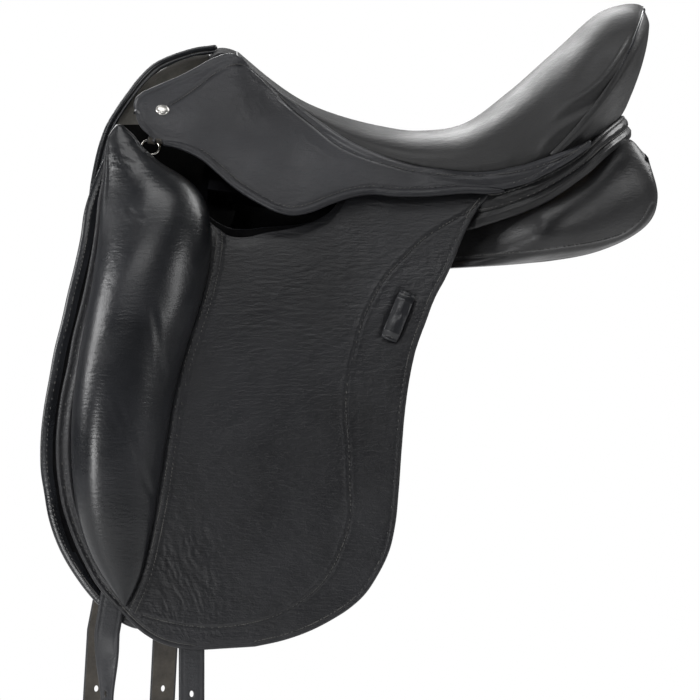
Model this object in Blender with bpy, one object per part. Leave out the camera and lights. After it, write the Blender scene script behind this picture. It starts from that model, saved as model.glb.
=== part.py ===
"""English dressage saddle, built as the assembly of leather, foam, wood and steel pieces it is.

Frame: metres, +X towards the cantle, -Y the near (left) side, +Z up. The origin is the deepest
point of the seat, on the centre line. Outlines are side views, (x, z) in millimetres; their
widths come from the barrel-shaped surface that the flap lies on.

Each side lifts about one straight line, where the skirt is creased over the stirrup bar:
sweat flap, then flap, then skirt, each carried by the one beneath it.
"""

import math

import bmesh
import bpy
from mathutils import Matrix, Vector

MM = 0.001
SIDES = (("left", -1), ("right", 1))

# Seat surface, at eleven even stations from pommel to cantle: centre line, then the seam line
SEAT_X = [v * MM for v in (-160, -130, -100, -65, -30, 5, 45, 85, 125, 165, 205)]
SEAT_Z = [v * MM for v in (72.5, 47.5, 26.5, 12, 3.5, 0, 6.5, 36, 71, 102, 116.5)]
SEAM_X = [v * MM for v in (-158, -130, -102, -66, -32, 0, 30, 56, 80, 100, 118)]
SEAM_Z = [v * MM for v in (66, 40, 18, -6, -23, -32, -37, -39, -36, -31, -24)]
SEAM_W = [v * MM for v in (44, 55, 67, 84, 98, 108, 116, 121, 125, 128, 129)]
SEAM_BEND = 3.5  # how sharply the cross rows turn towards the seam line

# The barrel-shaped surface of the flap's middle, and the straight line that it lifts about
LIFT_Z = -0.0414
LIFT_SLOPE = -0.1416
LIFT_WIDTH = 0.118
LIFT_FLARE = 0.06
BELLY = 0.130
BELLY_DROP = 0.190
WRAP_START = -0.200
WRAP = 0.6
WRAP_DROP = 0.15

# Offsets of each layer's middle from the flap's middle, and thicknesses
SKIRT_OFFSET, SKIRT_THICK = 8 * MM, 4 * MM
SKIRT_LOBE_LIFT = 6 * MM
FLAP_THICK = 4 * MM
STRAP_OFFSET, STRAP_THICK, STRAP_WIDTH = -6.5 * MM, 3.2 * MM, 21 * MM
SWEAT_OFFSET, SWEAT_THICK = -12.5 * MM, 3.2 * MM
POCKET_OFFSET, POCKET_THICK = -15.7 * MM, 1.4 * MM
HEAD_PLATE_OFFSET, HEAD_PLATE_THICK = -18.2 * MM, 2.4 * MM
TREE_OFFSET, TREE_THICK = -25 * MM, 6 * MM
PANEL_OUTER, PANEL_RIM = -35 * MM, -19 * MM
COVER_THICK = 3 * MM
GAP = 0.4 * MM

LEATHER = (0.012, 0.013, 0.016)
SUEDE = (0.09, 0.085, 0.07)
FLESH = (0.10, 0.085, 0.07)


# ---------------------------------------------------------------- curves and surfaces


def blend(a, b, t):
    return a * (1 - t) + b * t


def ease(t):
    t = min(max(t, 0.0), 1.0)
    return t * t * (3 - 2 * t)


def track(values, s):
    """A smooth run through evenly spaced values, with s from 0 to 1."""
    spans = len(values) - 1
    place = min(max(s, 0.0), 1.0) * spans
    i = min(int(place), spans - 1)
    t = place - i
    first, last = values[i], values[i + 1]
    before = values[i - 1] if i else first * 2 - last
    after = values[i + 2] if i + 2 <= spans else last * 2 - first
    slope_first = (last - before) * 0.5
    slope_last = (after - first) * 0.5
    rise = last - first
    bend = slope_first + slope_last - rise * 2
    return first + (slope_first + (rise * 3 - slope_first * 2 - slope_last + bend * t) * t) * t


def points_mm(*pairs):
    return [Vector(pair) * MM for pair in pairs]


def resampled(path, count):
    """The polyline's points moved to even spacing."""
    lengths = [0.0]
    for a, b in zip(path, path[1:]):
        lengths.append(lengths[-1] + (b - a).length)
    out = []
    i = 0
    for k in range(count):
        target = lengths[-1] * k / (count - 1)
        while i < len(path) - 2 and lengths[i + 1] < target:
            i += 1
        t = (target - lengths[i]) / (lengths[i + 1] - lengths[i])
        out.append(path[i].lerp(path[i + 1], min(max(t, 0.0), 1.0)))
    return out


def smooth_path(points, count):
    """Evenly spaced points on a smooth curve through the given ones, however these are spaced."""
    knots = [points[0] * 2 - points[1]] + list(points) + [points[-1] * 2 - points[-2]]
    dense = []
    for before, a, b, after in zip(knots, knots[1:], knots[2:], knots[3:]):
        span = (b - a).length
        back, ahead = (a - before).length, (after - b).length
        slope_a = ((a - before) / back * span + (b - a) / span * back) / (back + span)
        slope_b = ((b - a) / span * ahead + (after - b) / ahead * span) / (ahead + span)
        for k in range(12):
            t = k / 12
            hermite = (
                a * (1 + 2 * t) * (1 - t) ** 2
                + b * (3 - 2 * t) * t * t
                + slope_a * span * t * (1 - t) ** 2
                - slope_b * span * t * t * (1 - t)
            )
            dense.append(hermite)
    dense.append(points[-1].copy())
    return resampled(dense, count)


def ruled(first, last, columns, shape=None):
    """Rows of points from each point of one edge to the same point of the other.

    The shape function may move each point; it also gets its place down and across the grid.
    """
    grid = []
    for i, (a, b) in enumerate(zip(first, last)):
        steps = [k / (columns - 1) for k in range(columns)]
        row = [a.lerp(b, t) for t in steps]
        if shape:
            row = [shape(p, i / (len(first) - 1), t) for p, t in zip(row, steps)]
        grid.append(row)
    return grid


def lift_z(x):
    return LIFT_Z + LIFT_SLOPE * x


def half_width(x, z):
    """Half-width of the flap's middle: straight along the lift line, then barrel-shaped below."""
    drop = lift_z(x) - z
    width = LIFT_WIDTH + LIFT_FLARE * x
    if drop < 0:
        return width + BELLY / BELLY_DROP * drop
    wrap = WRAP * max(0.0, WRAP_START - x) ** 2 * min(1.0, drop / WRAP_DROP)
    return width + BELLY * (1 - math.exp(-drop / BELLY_DROP)) - wrap


def side_normal(x, z):
    step = 1 * MM
    slope_x = (half_width(x + step, z) - half_width(x - step, z)) / (2 * step)
    slope_z = (half_width(x, z + step) - half_width(x, z - step)) / (2 * step)
    return Vector((-slope_x, 1, -slope_z)).normalized()


def side_point(side, x, z, offset=0.0):
    """The point at (x, z) in a side view, on the surface parallel to the flap at this offset."""
    base_x, base_z = x, z
    for _ in range(6):
        normal = side_normal(base_x, base_z)
        base_x = x - normal.x * offset
        base_z = z - normal.z * offset
    return Vector((x, side * (half_width(base_x, base_z) + normal.y * offset), z))


def seat_point(u, v):
    """The seat's outer surface: u from pommel to cantle, v from the left seam to the right one."""
    bend = abs(v) ** SEAM_BEND
    angle = v * math.pi / 2
    top = track(SEAT_Z, u)
    sink = (1 - math.cos(angle)) ** (1 + 0.3 * u)
    return Vector((
        blend(track(SEAT_X, u), track(SEAM_X, u), bend),
        track(SEAM_W, u) * math.sin(angle),
        top - (top - track(SEAM_Z, u)) * sink,
    ))


def seat_layer(u, v, depth):
    """A point this far under the seat's surface, along its normal."""
    step = 0.01
    along = seat_point(min(u + step, 1), v) - seat_point(max(u - step, 0), v)
    across = seat_point(u, min(v + step, 1)) - seat_point(u, max(v - step, -1))
    return seat_point(u, v) - along.cross(across).normalized() * depth


def seat_grid(u_range, v_range, rows, columns, depth):
    return [
        [
            seat_layer(blend(*u_range, i / (rows - 1)), blend(*v_range, k / (columns - 1)), depth)
            for k in range(columns)
        ]
        for i in range(rows)
    ]


# ---------------------------------------------------------------- closed solids


def material(name, colour, roughness, metallic=0.0):
    made = bpy.data.materials.get(name)
    if made:
        return made
    made = bpy.data.materials.new(name)
    made.use_nodes = True
    shader = made.node_tree.nodes["Principled BSDF"]
    shader.inputs["Base Color"].default_value = (*colour, 1)
    shader.inputs["Roughness"].default_value = roughness
    shader.inputs["Metallic"].default_value = metallic
    return made


def seat_leather():
    return material("seat_leather", (0.020, 0.021, 0.023), 0.45)


def flap_leather():
    return material("flap_leather", LEATHER, 0.40)


def strap_leather():
    return material("strap_leather", FLESH, 0.60)


def panel_leather():
    return material("panel_leather", LEATHER, 0.38)


def panel_suede():
    return material("panel_suede", SUEDE, 0.90)


def block_leather():
    return material("block_leather", LEATHER, 0.28)


def foam():
    return material("foam", (0.55, 0.50, 0.38), 0.95)


def webbing():
    return material("webbing", (0.52, 0.48, 0.38), 0.90)


def laminated_wood():
    return material("laminated_wood", (0.36, 0.22, 0.11), 0.55)


def steel():
    return material("steel", (0.45, 0.46, 0.48), 0.35, 1.0)


def nickel():
    return material("nickel", (0.72, 0.70, 0.66), 0.20, 1.0)


def finished(name, mesh, surface, origin=None):
    """The mesh as an object with outward faces, its origin moved onto a joint's axis if given."""
    bmesh.ops.recalc_face_normals(mesh, faces=mesh.faces)
    if mesh.calc_volume(signed=True) < 0:
        bmesh.ops.reverse_faces(mesh, faces=mesh.faces)
    if origin is not None:
        bmesh.ops.translate(mesh, verts=mesh.verts, vec=-origin)
    data = bpy.data.meshes.new(name)
    mesh.to_mesh(data)
    mesh.free()
    data.materials.append(surface)
    data.shade_smooth()
    data.set_sharp_from_angle(angle=math.radians(40))
    obj = bpy.data.objects.new(name, data)
    if origin is not None:
        obj.location = origin
    bpy.context.scene.collection.objects.link(obj)
    return obj


def shell(name, front, back, surface, origin=None, loop=False):
    """A closed solid between two grids of points; a loop joins the last row to the first."""
    mesh = bmesh.new()
    rows, columns = len(front), len(front[0])
    layers = [[[mesh.verts.new(p) for p in row] for row in grid] for grid in (front, back)]
    row_count = rows if loop else rows - 1
    for layer in layers:
        for i in range(row_count):
            low, high = layer[i], layer[(i + 1) % rows]
            for k in range(columns - 1):
                mesh.faces.new((low[k], low[k + 1], high[k + 1], high[k]))
    outer, inner = layers
    for k in (0, columns - 1):
        for i in range(row_count):
            j = (i + 1) % rows
            mesh.faces.new((outer[i][k], outer[j][k], inner[j][k], inner[i][k]))
    if not loop:
        for i in (0, rows - 1):
            for k in range(columns - 1):
                mesh.faces.new((outer[i][k], outer[i][k + 1], inner[i][k + 1], inner[i][k]))
    return finished(name, mesh, surface, origin)


def thickened(grid, thickness, loop=False):
    """Two grids, half the thickness to each side of this one along its normals."""
    rows, columns = len(grid), len(grid[0])
    front, back = [], []
    for i in range(rows):
        ahead = grid[(i + 1) % rows] if loop else grid[min(i + 1, rows - 1)]
        behind = grid[i - 1] if loop or i else grid[0]
        front.append([])
        back.append([])
        for k in range(columns):
            along = ahead[k] - behind[k]
            across = grid[i][min(k + 1, columns - 1)] - grid[i][max(k - 1, 0)]
            normal = along.cross(across).normalized()
            front[-1].append(grid[i][k] + normal * thickness / 2)
            back[-1].append(grid[i][k] - normal * thickness / 2)
    return front, back


def sheet(name, grid, thickness, surface, origin=None, loop=False):
    front, back = thickened(grid, thickness, loop)
    return shell(name, front, back, surface, origin, loop)


def side_sheet(name, side, grid, offset, thickness, surface, origin=None, lift=None):
    """A sheet on the side of the saddle, from a side-view grid; lift adds to its offset."""
    layers = []
    for half in (0.5, -0.5):
        layers.append([
            [
                side_point(side, p.x, p.y, offset + half * thickness + (lift(p) if lift else 0))
                for p in row
            ]
            for row in grid
        ])
    return shell(name, *layers, surface, origin)


def tube(name, path, radius, sides, surface, origin=None, closed=False):
    """A round cord along a path, with flat ends unless it is closed."""
    mesh = bmesh.new()
    count = len(path)
    rings = []
    reference = Vector((0, 0, 1))
    for i, centre in enumerate(path):
        ahead = path[(i + 1) % count] if closed else path[min(i + 1, count - 1)]
        behind = path[i - 1] if closed or i else path[0]
        forward = (ahead - behind).normalized()
        if closed:
            reference = (centre - sum(path, Vector()) / count).normalized()
        across = forward.cross(reference)
        if across.length < 0.2:
            across = forward.cross(Vector((0, 1, 0)))
        across.normalize()
        up = across.cross(forward)
        reference = up
        turns = [math.tau * k / sides for k in range(sides)]
        rings.append([
            mesh.verts.new(centre + (across * math.cos(a) + up * math.sin(a)) * radius) for a in turns
        ])
    pairs = list(zip(rings, rings[1:])) + ([(rings[-1], rings[0])] if closed else [])
    for low, high in pairs:
        for k in range(sides):
            mesh.faces.new((low[k], low[(k + 1) % sides], high[(k + 1) % sides], high[k]))
    if not closed:
        mesh.faces.new(rings[0])
        mesh.faces.new(reversed(rings[-1]))
    return finished(name, mesh, surface, origin)


def turned(name, frame, profile, sides, surface, origin=None):
    """A solid turned about the frame's third axis; the profile is (radius, height) end to end."""
    mesh = bmesh.new()
    rings = []
    for radius, height in profile:
        turns = [math.tau * k / sides for k in range(sides)]
        rings.append([
            mesh.verts.new(frame @ Vector((radius * math.cos(a), radius * math.sin(a), height)))
            for a in turns
        ])
    for low, high in zip(rings, rings[1:]):
        for k in range(sides):
            mesh.faces.new((low[k], low[(k + 1) % sides], high[(k + 1) % sides], high[k]))
    mesh.faces.new(rings[0])
    mesh.faces.new(reversed(rings[-1]))
    return finished(name, mesh, surface, origin)


def extruded(name, frame, outline, low, high, surface, origin=None):
    """A flat outline in the frame's first two axes, extruded along the third."""
    mesh = bmesh.new()
    floor = [mesh.verts.new(frame @ Vector((x, y, low))) for x, y in outline]
    roof = [mesh.verts.new(frame @ Vector((x, y, high))) for x, y in outline]
    mesh.faces.new(floor)
    mesh.faces.new(reversed(roof))
    for k in range(len(outline)):
        j = (k + 1) % len(outline)
        mesh.faces.new((floor[k], floor[j], roof[j], roof[k]))
    return finished(name, mesh, surface, origin)


def as_cutter(obj):
    obj.hide_render = True
    obj.display_type = "WIRE"
    return obj


def cut(obj, cutter):
    modifier = obj.modifiers.new("cut_" + cutter.name, "BOOLEAN")
    modifier.operation = "DIFFERENCE"
    modifier.object = cutter


def frame_of(origin, first, second):
    """A placement whose first axis is given and whose second lies in the given plane."""
    first = first.normalized()
    third = first.cross(second).normalized()
    second = third.cross(first)
    turn = Matrix((first, second, third)).transposed().to_4x4()
    return Matrix.Translation(origin) @ turn


def mirrored(side, point):
    return Vector((point.x, side * point.y, point.z))


# ---------------------------------------------------------------- seat

# What each layer covers of the seat: its span of u, its span of v, rows and columns
WHOLE_SEAT = ((0.0, 1.0), (-1.0, 1.0), 15, 12)
FOAM_AREA = ((0.03, 0.95), (-0.76, 0.76), 12, 8)
SEAT_WEB_AREA = ((0.08, 0.92), (-0.36, 0.36), 12, 4)
FOAM_TOP, FOAM_BOTTOM = 5.6 * MM, 14.5 * MM
SEAT_WEB_DEPTH, GIRTH_WEB_DEPTH, WEB_THICK = 18 * MM, 20.8 * MM, 1.6 * MM
GIRTH_WEB_EDGES = (0.32, 0.40)
GIRTH_WEB_OVER = (-0.78, -0.5, -0.2, 0.2, 0.5, 0.78)
GIRTH_WEB_ENDS = (-6 * MM, 8 * MM)
GIRTH_WEB_END_OFFSET = -21 * MM


def flatten_middle(grid):
    """Levels the four points round the origin, so that the seat has one true flat there."""
    nearest = sorted((p for row in grid for p in row), key=lambda p: Vector((p.x, p.y)).length)
    for point in nearest[:4]:
        point.z = 0.0


def seat_cover():
    outer = seat_grid(*WHOLE_SEAT, 0.0)
    flatten_middle(outer)
    shell("seat_cover", outer, seat_grid(*WHOLE_SEAT, COVER_THICK), seat_leather())


def seat_padding():
    shell("seat_foam", seat_grid(*FOAM_AREA, FOAM_TOP), seat_grid(*FOAM_AREA, FOAM_BOTTOM), foam())
    sheet("seat_web", seat_grid(*SEAT_WEB_AREA, SEAT_WEB_DEPTH), WEB_THICK, webbing())


def girth_web():
    """The band strained over the tree, whose ends meet the tops of the sweat flaps."""
    rows = []
    for u in GIRTH_WEB_EDGES:
        over = [seat_layer(u, v, GIRTH_WEB_DEPTH) for v in GIRTH_WEB_OVER]
        x = over[0].x - 2 * MM
        ends = [side_point(1, x, lift_z(x) - drop, GIRTH_WEB_END_OFFSET) for drop in GIRTH_WEB_ENDS]
        rows.append([mirrored(-1, p) for p in reversed(ends)] + over + ends)
    grid = [[row[k] for row in rows] for k in range(len(rows[0]))]
    sheet("girth_web", grid, WEB_THICK, webbing())


# Front roll of the pommel in the centre plane, from the seat's front edge over and down
POMMEL_ROLL = points_mm((-161, 73.5), (-168, 75.5), (-177, 74.5), (-182.5, 68), (-182, 58), (-178, 52))
POMMEL_HALF_WIDTH = 38 * MM


def pommel_cover():
    profile = smooth_path(POMMEL_ROLL, 8)
    grid = []
    for k in range(9):
        v = -1 + k / 4
        sink = 5 * MM * (1 - math.cos(v * math.pi / 2))
        grid.append([Vector((p.x, POMMEL_HALF_WIDTH * v, p.y - sink)) for p in profile])
    sheet("pommel_cover", grid, 2.6 * MM, seat_leather())


# Foot of the cantle's back, from the centre round to the seam: (x, half-width, z)
CANTLE_FOOT = points_mm(
    (182, 0, 13), (180, 40, 11.5), (174.5, 74, 6), (157, 104.5, -6.5), (136, 119.5, -18),
    (121, 125, -24),
)
CANTLE_FOOT_V = 0.955
CANTLE_SWELL = 9 * MM
CANTLE_BACK_START = 0.16
WELT_RADIUS = 1.5 * MM


def cantle_back_point(v, s):
    """The back of the cantle: v from left to right as on the seat, s from the rim down."""
    rim = seat_point(1.0, v)
    spread = abs(v) / CANTLE_FOOT_V
    foot = track(CANTLE_FOOT, spread)
    foot = Vector((foot.x, math.copysign(foot.y, v) if v else 0.0, foot.z))
    point = rim.lerp(foot, s)
    out = Vector((1.0, 0.5 * v, 0.2)).normalized()
    reach = 3.2 * MM + CANTLE_SWELL * math.sin(math.pi * min(1.0, 0.12 + s * 0.88)) * (1 - 0.6 * spread)
    return point + out * reach


def cantle():
    count = 17
    grid = []
    for k in range(count):
        v = blend(-CANTLE_FOOT_V, CANTLE_FOOT_V, k / (count - 1))
        grid.append([cantle_back_point(v, blend(CANTLE_BACK_START, 1, j / 5)) for j in range(6)])
    sheet("cantle_back", grid, 2.6 * MM, seat_leather())
    path = []
    for k in range(19):
        v = blend(-0.93, 0.93, k / 18)
        rearwards = (seat_point(1.0, v) - seat_point(0.98, v)).normalized()
        path.append(seat_layer(1.0, v, COVER_THICK / 2) + rearwards * (WELT_RADIUS + 3 * GAP))
    tube("cantle_welt", path, WELT_RADIUS, 6, seat_leather())


# The facing that wraps round under the cantle: upper and lower edge from the rear centre forwards
FACING_UPPER = points_mm(
    (190.5, 0, 14), (186.5, 63, 9.5), (166, 107.5, -6.5), (144, 122, -26), (110, 130, -44),
    (76, 130, -56),
)
FACING_LOWER = points_mm(
    (198, 0, -1), (194, 62, -6), (173, 107, -20.5), (149, 124.5, -41), (110, 134, -66.5),
    (60, 133.5, -84),
)


def rear_facing():
    upper = [track(FACING_UPPER, k / 12) for k in range(13)]
    lower = [track(FACING_LOWER, k / 12) for k in range(13)]
    edges = []
    for edge in (upper, lower):
        edges.append([mirrored(-1, p) for p in reversed(edge[1:])] + edge)
    sheet("rear_facing", ruled(*edges, 4), 4 * MM, panel_leather())


# ---------------------------------------------------------------- tree


def tree_stations():
    """Cross-sections of one side of the tree from pommel to cantle: inner edge, shoulder, outer edge."""

    def on_side(x, z):
        return side_point(1, x * MM, z * MM, TREE_OFFSET)

    def at(x, y, z):
        return Vector((x, y, z)) * MM

    return [
        (at(-120, 0, 6), at(-146, 0, 22), at(-171, 0, 38)),
        (at(-117, 20, 3), at(-146, 27, 17), at(-173, 32, 30)),
        (at(-110, 36, -6), on_side(-160, 3), on_side(-188, -45)),
        (at(-95, 43, -14), on_side(-140, -8), on_side(-158, -52)),
        (at(-72, 48, -22), on_side(-108, -20), on_side(-112, -46)),
        (at(-34, 50, -31), at(-50, 72, -38), at(-66, 84, -46)),
        (at(0, 50, -34), at(0, 68, -39), at(0, 85, -47)),
        (at(48, 50, -26), at(50, 70, -32), at(50, 90, -42)),
        (at(88, 46, -2), at(92, 70, -10), at(98, 94, -28)),
        (at(124, 36, 26), at(132, 62, 23), at(138, 88, 14)),
        (at(148, 18, 46), at(158, 32, 50), at(168, 46, 54)),
        (at(151, 0, 49), at(166, 0, 59), at(180, 0, 68)),
    ]


def tree_section(stations, s, columns):
    edges = [track([station[i] for station in stations], s) for i in range(3)]
    return [track(edges, k / (columns - 1)) for k in range(columns)]


TREE_ROWS = 23
SPRING_STATIONS = (0.46, 0.52, 0.58, 0.64, 0.70, 0.76)
SPRING_THICK, SPRING_DROP = 2 * MM, 7.4 * MM
CANTLE_PLATE_STATIONS = (0.86, 0.93, 1.0)
CANTLE_PLATE_SHIFT = Vector((1.5 * MM, 0, -7 * MM))


def tree():
    stations = tree_stations()
    half = [tree_section(stations, k / (TREE_ROWS - 1), 6) for k in range(TREE_ROWS)]
    for row in (half[0], half[-1]):
        for point in row:
            point.y = 0.0
    other = [[mirrored(-1, p) for p in row] for row in reversed(half[1:-1])]
    return sheet("tree", half + other, TREE_THICK, laminated_wood(), loop=True)


def spring(label, side):
    """The flat steel spring under one rail of the tree."""
    stations = tree_stations()
    rail = [tree_section(stations, s, 7)[1:4] for s in SPRING_STATIONS]
    grid = [[mirrored(side, p) - Vector((0, 0, SPRING_DROP)) for p in row] for row in rail]
    sheet(f"spring_{label}", grid, SPRING_THICK, steel())


def cantle_plate():
    """The steel band that ties the rear of the tree together, right round from rail to rail."""
    stations = tree_stations()
    rear = [tree_section(stations, s, 4)[1:] for s in CANTLE_PLATE_STATIONS]
    rear[-1] = [Vector((p.x, 0, p.z)) for p in rear[-1]]
    rear += [[mirrored(-1, p) for p in row] for row in reversed(rear[:-1])]
    sheet("cantle_plate", [[p + CANTLE_PLATE_SHIFT for p in row] for row in rear], SPRING_THICK, steel())


# Steel head plate: its front and rear edge from the centre of the arch to the tip of a point
HEAD_PLATE_LEGS = (
    (-184, -158, 5), (-188, -160, -20), (-192, -163, -42), (-196, -166, -64), (-196, -172, -82),
)


def head_plate():
    front = points_mm((-175, 0, 48.5), (-176, 20, 46), (-179, 40, 33))
    rear = points_mm((-150, 0, 34), (-150, 18, 31.5), (-153, 42, 23.5))
    for front_x, rear_x, z in HEAD_PLATE_LEGS:
        front.append(side_point(1, front_x * MM, z * MM, HEAD_PLATE_OFFSET))
        rear.append(side_point(1, rear_x * MM, z * MM, HEAD_PLATE_OFFSET))
    edges = []
    for edge in (front, rear):
        half = smooth_path(edge, 10)
        edges.append([mirrored(-1, p) for p in reversed(half[1:])] + half)
    return sheet("head_plate", ruled(*edges, 3), HEAD_PLATE_THICK, steel())


# ---------------------------------------------------------------- stirrup bar

BAR_X, BAR_DROP = -137 * MM, 35 * MM
# Side profile of the bar seen along its height: (along, outwards), open to the rear
BAR_PROFILE = (
    (-50, -16.4), (45, -16.4), (45, -13.8), (-43, -13.8), (-43, 0), (24, 0), (24, 1.2), (36, 1.2),
    (36, 4), (-50, 4),
)
BAR_HALF_HEIGHT = 5 * MM
CATCH_PIVOT = 30.5 * MM
CATCH_OUTLINE = ((26.8, -4), (50, -4), (53, -1.5), (53, 1.5), (50, 4), (26.8, 4))
CATCH_LOW, CATCH_HIGH = -2.6 * MM, 0.8 * MM
RIVET_ALONG = (-30 * MM, 26 * MM)


def profile_mm(*pairs):
    return [(radius * MM, height * MM) for radius, height in pairs]


# Turned profiles: (radius, height)
CATCH_BORE = profile_mm((1.8, -8), (1.8, 9))
CATCH_PIN = profile_mm((2.6, -4.2), (2.6, -3), (1.4, -3), (1.4, 4.4), (2.6, 4.4), (2.6, 5.4))
RIVET_HOLE = profile_mm((2.9, -35), (2.9, -8))
RIVET = profile_mm((2.4, -26), (2.4, -13.4), (4.4, -13.4), (3.6, -11.8))


def bar_frame():
    """First axis rearwards along the bar, second down across it, third outwards."""
    z = lift_z(BAR_X) - BAR_DROP
    along = Vector((1, LIFT_FLARE, LIFT_SLOPE))
    outwards = side_normal(BAR_X, z)
    return frame_of(side_point(1, BAR_X, z), along, outwards.cross(along))


def side_frame(side, frame):
    """The right-hand frame carried to this side: mirrored in the centre plane."""
    return Matrix.Diagonal((1, side, 1, 1)) @ frame


def stirrup_bar(label, side, plates):
    frame = side_frame(side, bar_frame())
    upright = frame @ Matrix(((1, 0, 0, 0), (0, 0, 1, 0), (0, 1, 0, 0), (0, 0, 0, 1)))
    profile = [(a * MM, n * MM) for a, n in BAR_PROFILE]
    bar = extruded(f"stirrup_bar_{label}", upright, profile, -BAR_HALF_HEIGHT, BAR_HALF_HEIGHT, steel())
    pivot = frame @ Vector((CATCH_PIVOT, 0, 0))
    outline = [(a * MM, t * MM) for a, t in CATCH_OUTLINE]
    catch = extruded(f"safety_catch_{label}", frame, outline, CATCH_LOW, CATCH_HIGH, steel(), pivot)
    pin_place = frame @ Matrix.Translation((CATCH_PIVOT, 0, 0))
    bore = as_cutter(turned(f"catch_bore_{label}", pin_place, CATCH_BORE, 12, steel()))
    cut(bar, bore)
    cut(catch, bore)
    turned(f"catch_pin_{label}", pin_place, CATCH_PIN, 12, steel())
    for place, along in zip(("front", "rear"), RIVET_ALONG):
        spot = frame @ Matrix.Translation((along, 0, 0))
        hole = as_cutter(turned(f"rivet_hole_{place}_{label}", spot, RIVET_HOLE, 12, steel()))
        for plate in (bar, *plates):
            cut(plate, hole)
        turned(f"bar_rivet_{place}_{label}", spot, RIVET, 12, steel())


# ---------------------------------------------------------------- panel

# Stations along the panel from the pommel to the rear: top edge, bottom edge, thickness
PANEL_TOP = points_mm(
    (-186, 64), (-190, 49), (-189, 26), (-181, 2), (-157, -18), (-120, -34), (-80, -50), (-30, -58),
    (40, -62), (98, -61), (143, -40), (175, -18), (195, -16), (205, -28),
)
PANEL_BOTTOM = points_mm(
    (-187, 70), (-212, 64.5), (-247, 41.5), (-276, -6), (-286, -72), (-264, -143), (-180, -146),
    (-85, -131), (20, -124), (100, -118.5), (163, -108.5), (206, -87), (218.5, -60), (214, -38),
)
PANEL_THICK = [v * MM for v in (3, 8, 14, 20, 23, 24, 26, 28, 30, 30, 30, 30, 26, 16)]
REAR_START, REAR_FULL = 30 * MM, 120 * MM
REAR_CENTRE, REAR_TILT, REAR_HALF = 80 * MM, 30 * MM, 50 * MM
REAR_SHOULDER, REAR_SWELL = 10 * MM, 47 * MM
REAR_RIM = 3 * MM
REAR_TIP_WIDTH, REAR_TAPER = 55 * MM, 0.5
TAPER_START, TAPER_LENGTH = 110 * MM, 110 * MM
REST_CUT = 3 * MM


def fullness(t, lean=1.3):
    """How far a cushion swells across its width: quick at both edges, round between."""
    return max(0.0, 1 - abs(2 * t**lean - 1) ** 2.2) ** 0.6


def panel_edge(edge, count):
    return [track(edge, k / (count - 1)) for k in range(count)]


def panel_point(side, p, s, t, outer):
    """A point of the panel's outer or inner face: a pad behind the flap, then a cushion at the rear."""
    swell = fullness(t)
    deep = PANEL_OUTER + (PANEL_RIM - PANEL_OUTER) * t**6
    if not outer:
        deep -= 1.5 * MM + track(PANEL_THICK, s) * swell
    pad = side_point(1, p.x, p.y, deep).y
    cushion = REAR_CENTRE + REAR_TILT * t
    if outer:
        cushion += REAR_RIM + REAR_SHOULDER * (1 - t) + REAR_SWELL * fullness(t, 1.0)
    else:
        cushion -= REAR_RIM + REAR_HALF * swell
    cushion = blend(cushion, REAR_TIP_WIDTH, REAR_TAPER * ease((p.x - TAPER_START) / TAPER_LENGTH))
    rear = ease((p.x - REAR_START) / (REAR_FULL - REAR_START))
    return Vector((p.x, side * blend(pad, cushion, rear), p.y))


def panel_grids(side, rows, columns):
    top, bottom = panel_edge(PANEL_TOP, rows), panel_edge(PANEL_BOTTOM, rows)
    grids = []
    for outer in (True, False):
        grids.append(ruled(top, bottom, columns, lambda p, s, t: panel_point(side, p, s, t, outer)))
    return grids


def rest_plane(side, points):
    """The flat under the rear cushion that bears on the horse: it faces down, inwards and rearwards."""
    towards = Vector((0.25, -0.42 * side, -1)).normalized()
    reach = max(p.dot(towards) for p in points)
    return towards * (reach - REST_CUT), towards


def panel(label, side):
    outer, inner = panel_grids(side, 24, 9)
    obj = shell(f"panel_{label}", outer, inner, panel_leather())
    mesh = bmesh.new()
    mesh.from_mesh(obj.data)
    place, towards = rest_plane(side, [v.co for v in mesh.verts])
    everything = mesh.verts[:] + mesh.edges[:] + mesh.faces[:]
    plane = {"plane_co": place, "plane_no": towards}
    sliced = bmesh.ops.bisect_plane(mesh, geom=everything, clear_outer=True, **plane)
    rim = [e for e in sliced["geom_cut"] if isinstance(e, bmesh.types.BMEdge)]
    bmesh.ops.contextual_create(mesh, geom=rim)
    bmesh.ops.recalc_face_normals(mesh, faces=mesh.faces)
    mesh.to_mesh(obj.data)
    mesh.free()


PANEL_WELT = points_mm(
    (-184, 76), (-197.5, 74), (-211, 70.2), (-222.5, 66), (-234.5, 59.9), (-246.6, 48.7),
    (-259, 32.6), (-269.8, 16.6), (-277, 4), (-281.5, -8), (-285, -20.6), (-287.6, -33),
    (-290.5, -50), (-292, -76), (-290, -106), (-279, -135),
)


def panel_welt(label, side):
    path = [side_point(side, p.x, p.y, -20 * MM) for p in smooth_path(PANEL_WELT, 20)]
    tube(f"panel_welt_{label}", path, 2.6 * MM, 6, panel_leather())


def gullet_lining():
    grid = []
    for k in range(12):
        u = blend(0.12, 0.93, k / 11)
        middle = seat_point(u, 0.0)
        drop = blend(45, 68, ease(u)) * MM
        grid.append([Vector((middle.x, y * MM, middle.z - drop)) for y in (-30, -12, 12, 30)])
    sheet("gullet_lining", grid, 2.4 * MM, panel_suede())


POINT_POCKET = ((-201, -162, -72), (-199, -164, -81), (-193, -171, -92))


def point_pocket(label, side):
    rows = []
    for front_x, rear_x, z in POINT_POCKET:
        edge = (front_x * MM, rear_x * MM)
        rows.append([Vector((blend(*edge, k / 3), z * MM)) for k in range(4)])
    side_sheet(f"point_pocket_{label}", side, rows, POCKET_OFFSET, POCKET_THICK, panel_leather())


# ---------------------------------------------------------------- flaps

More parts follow.
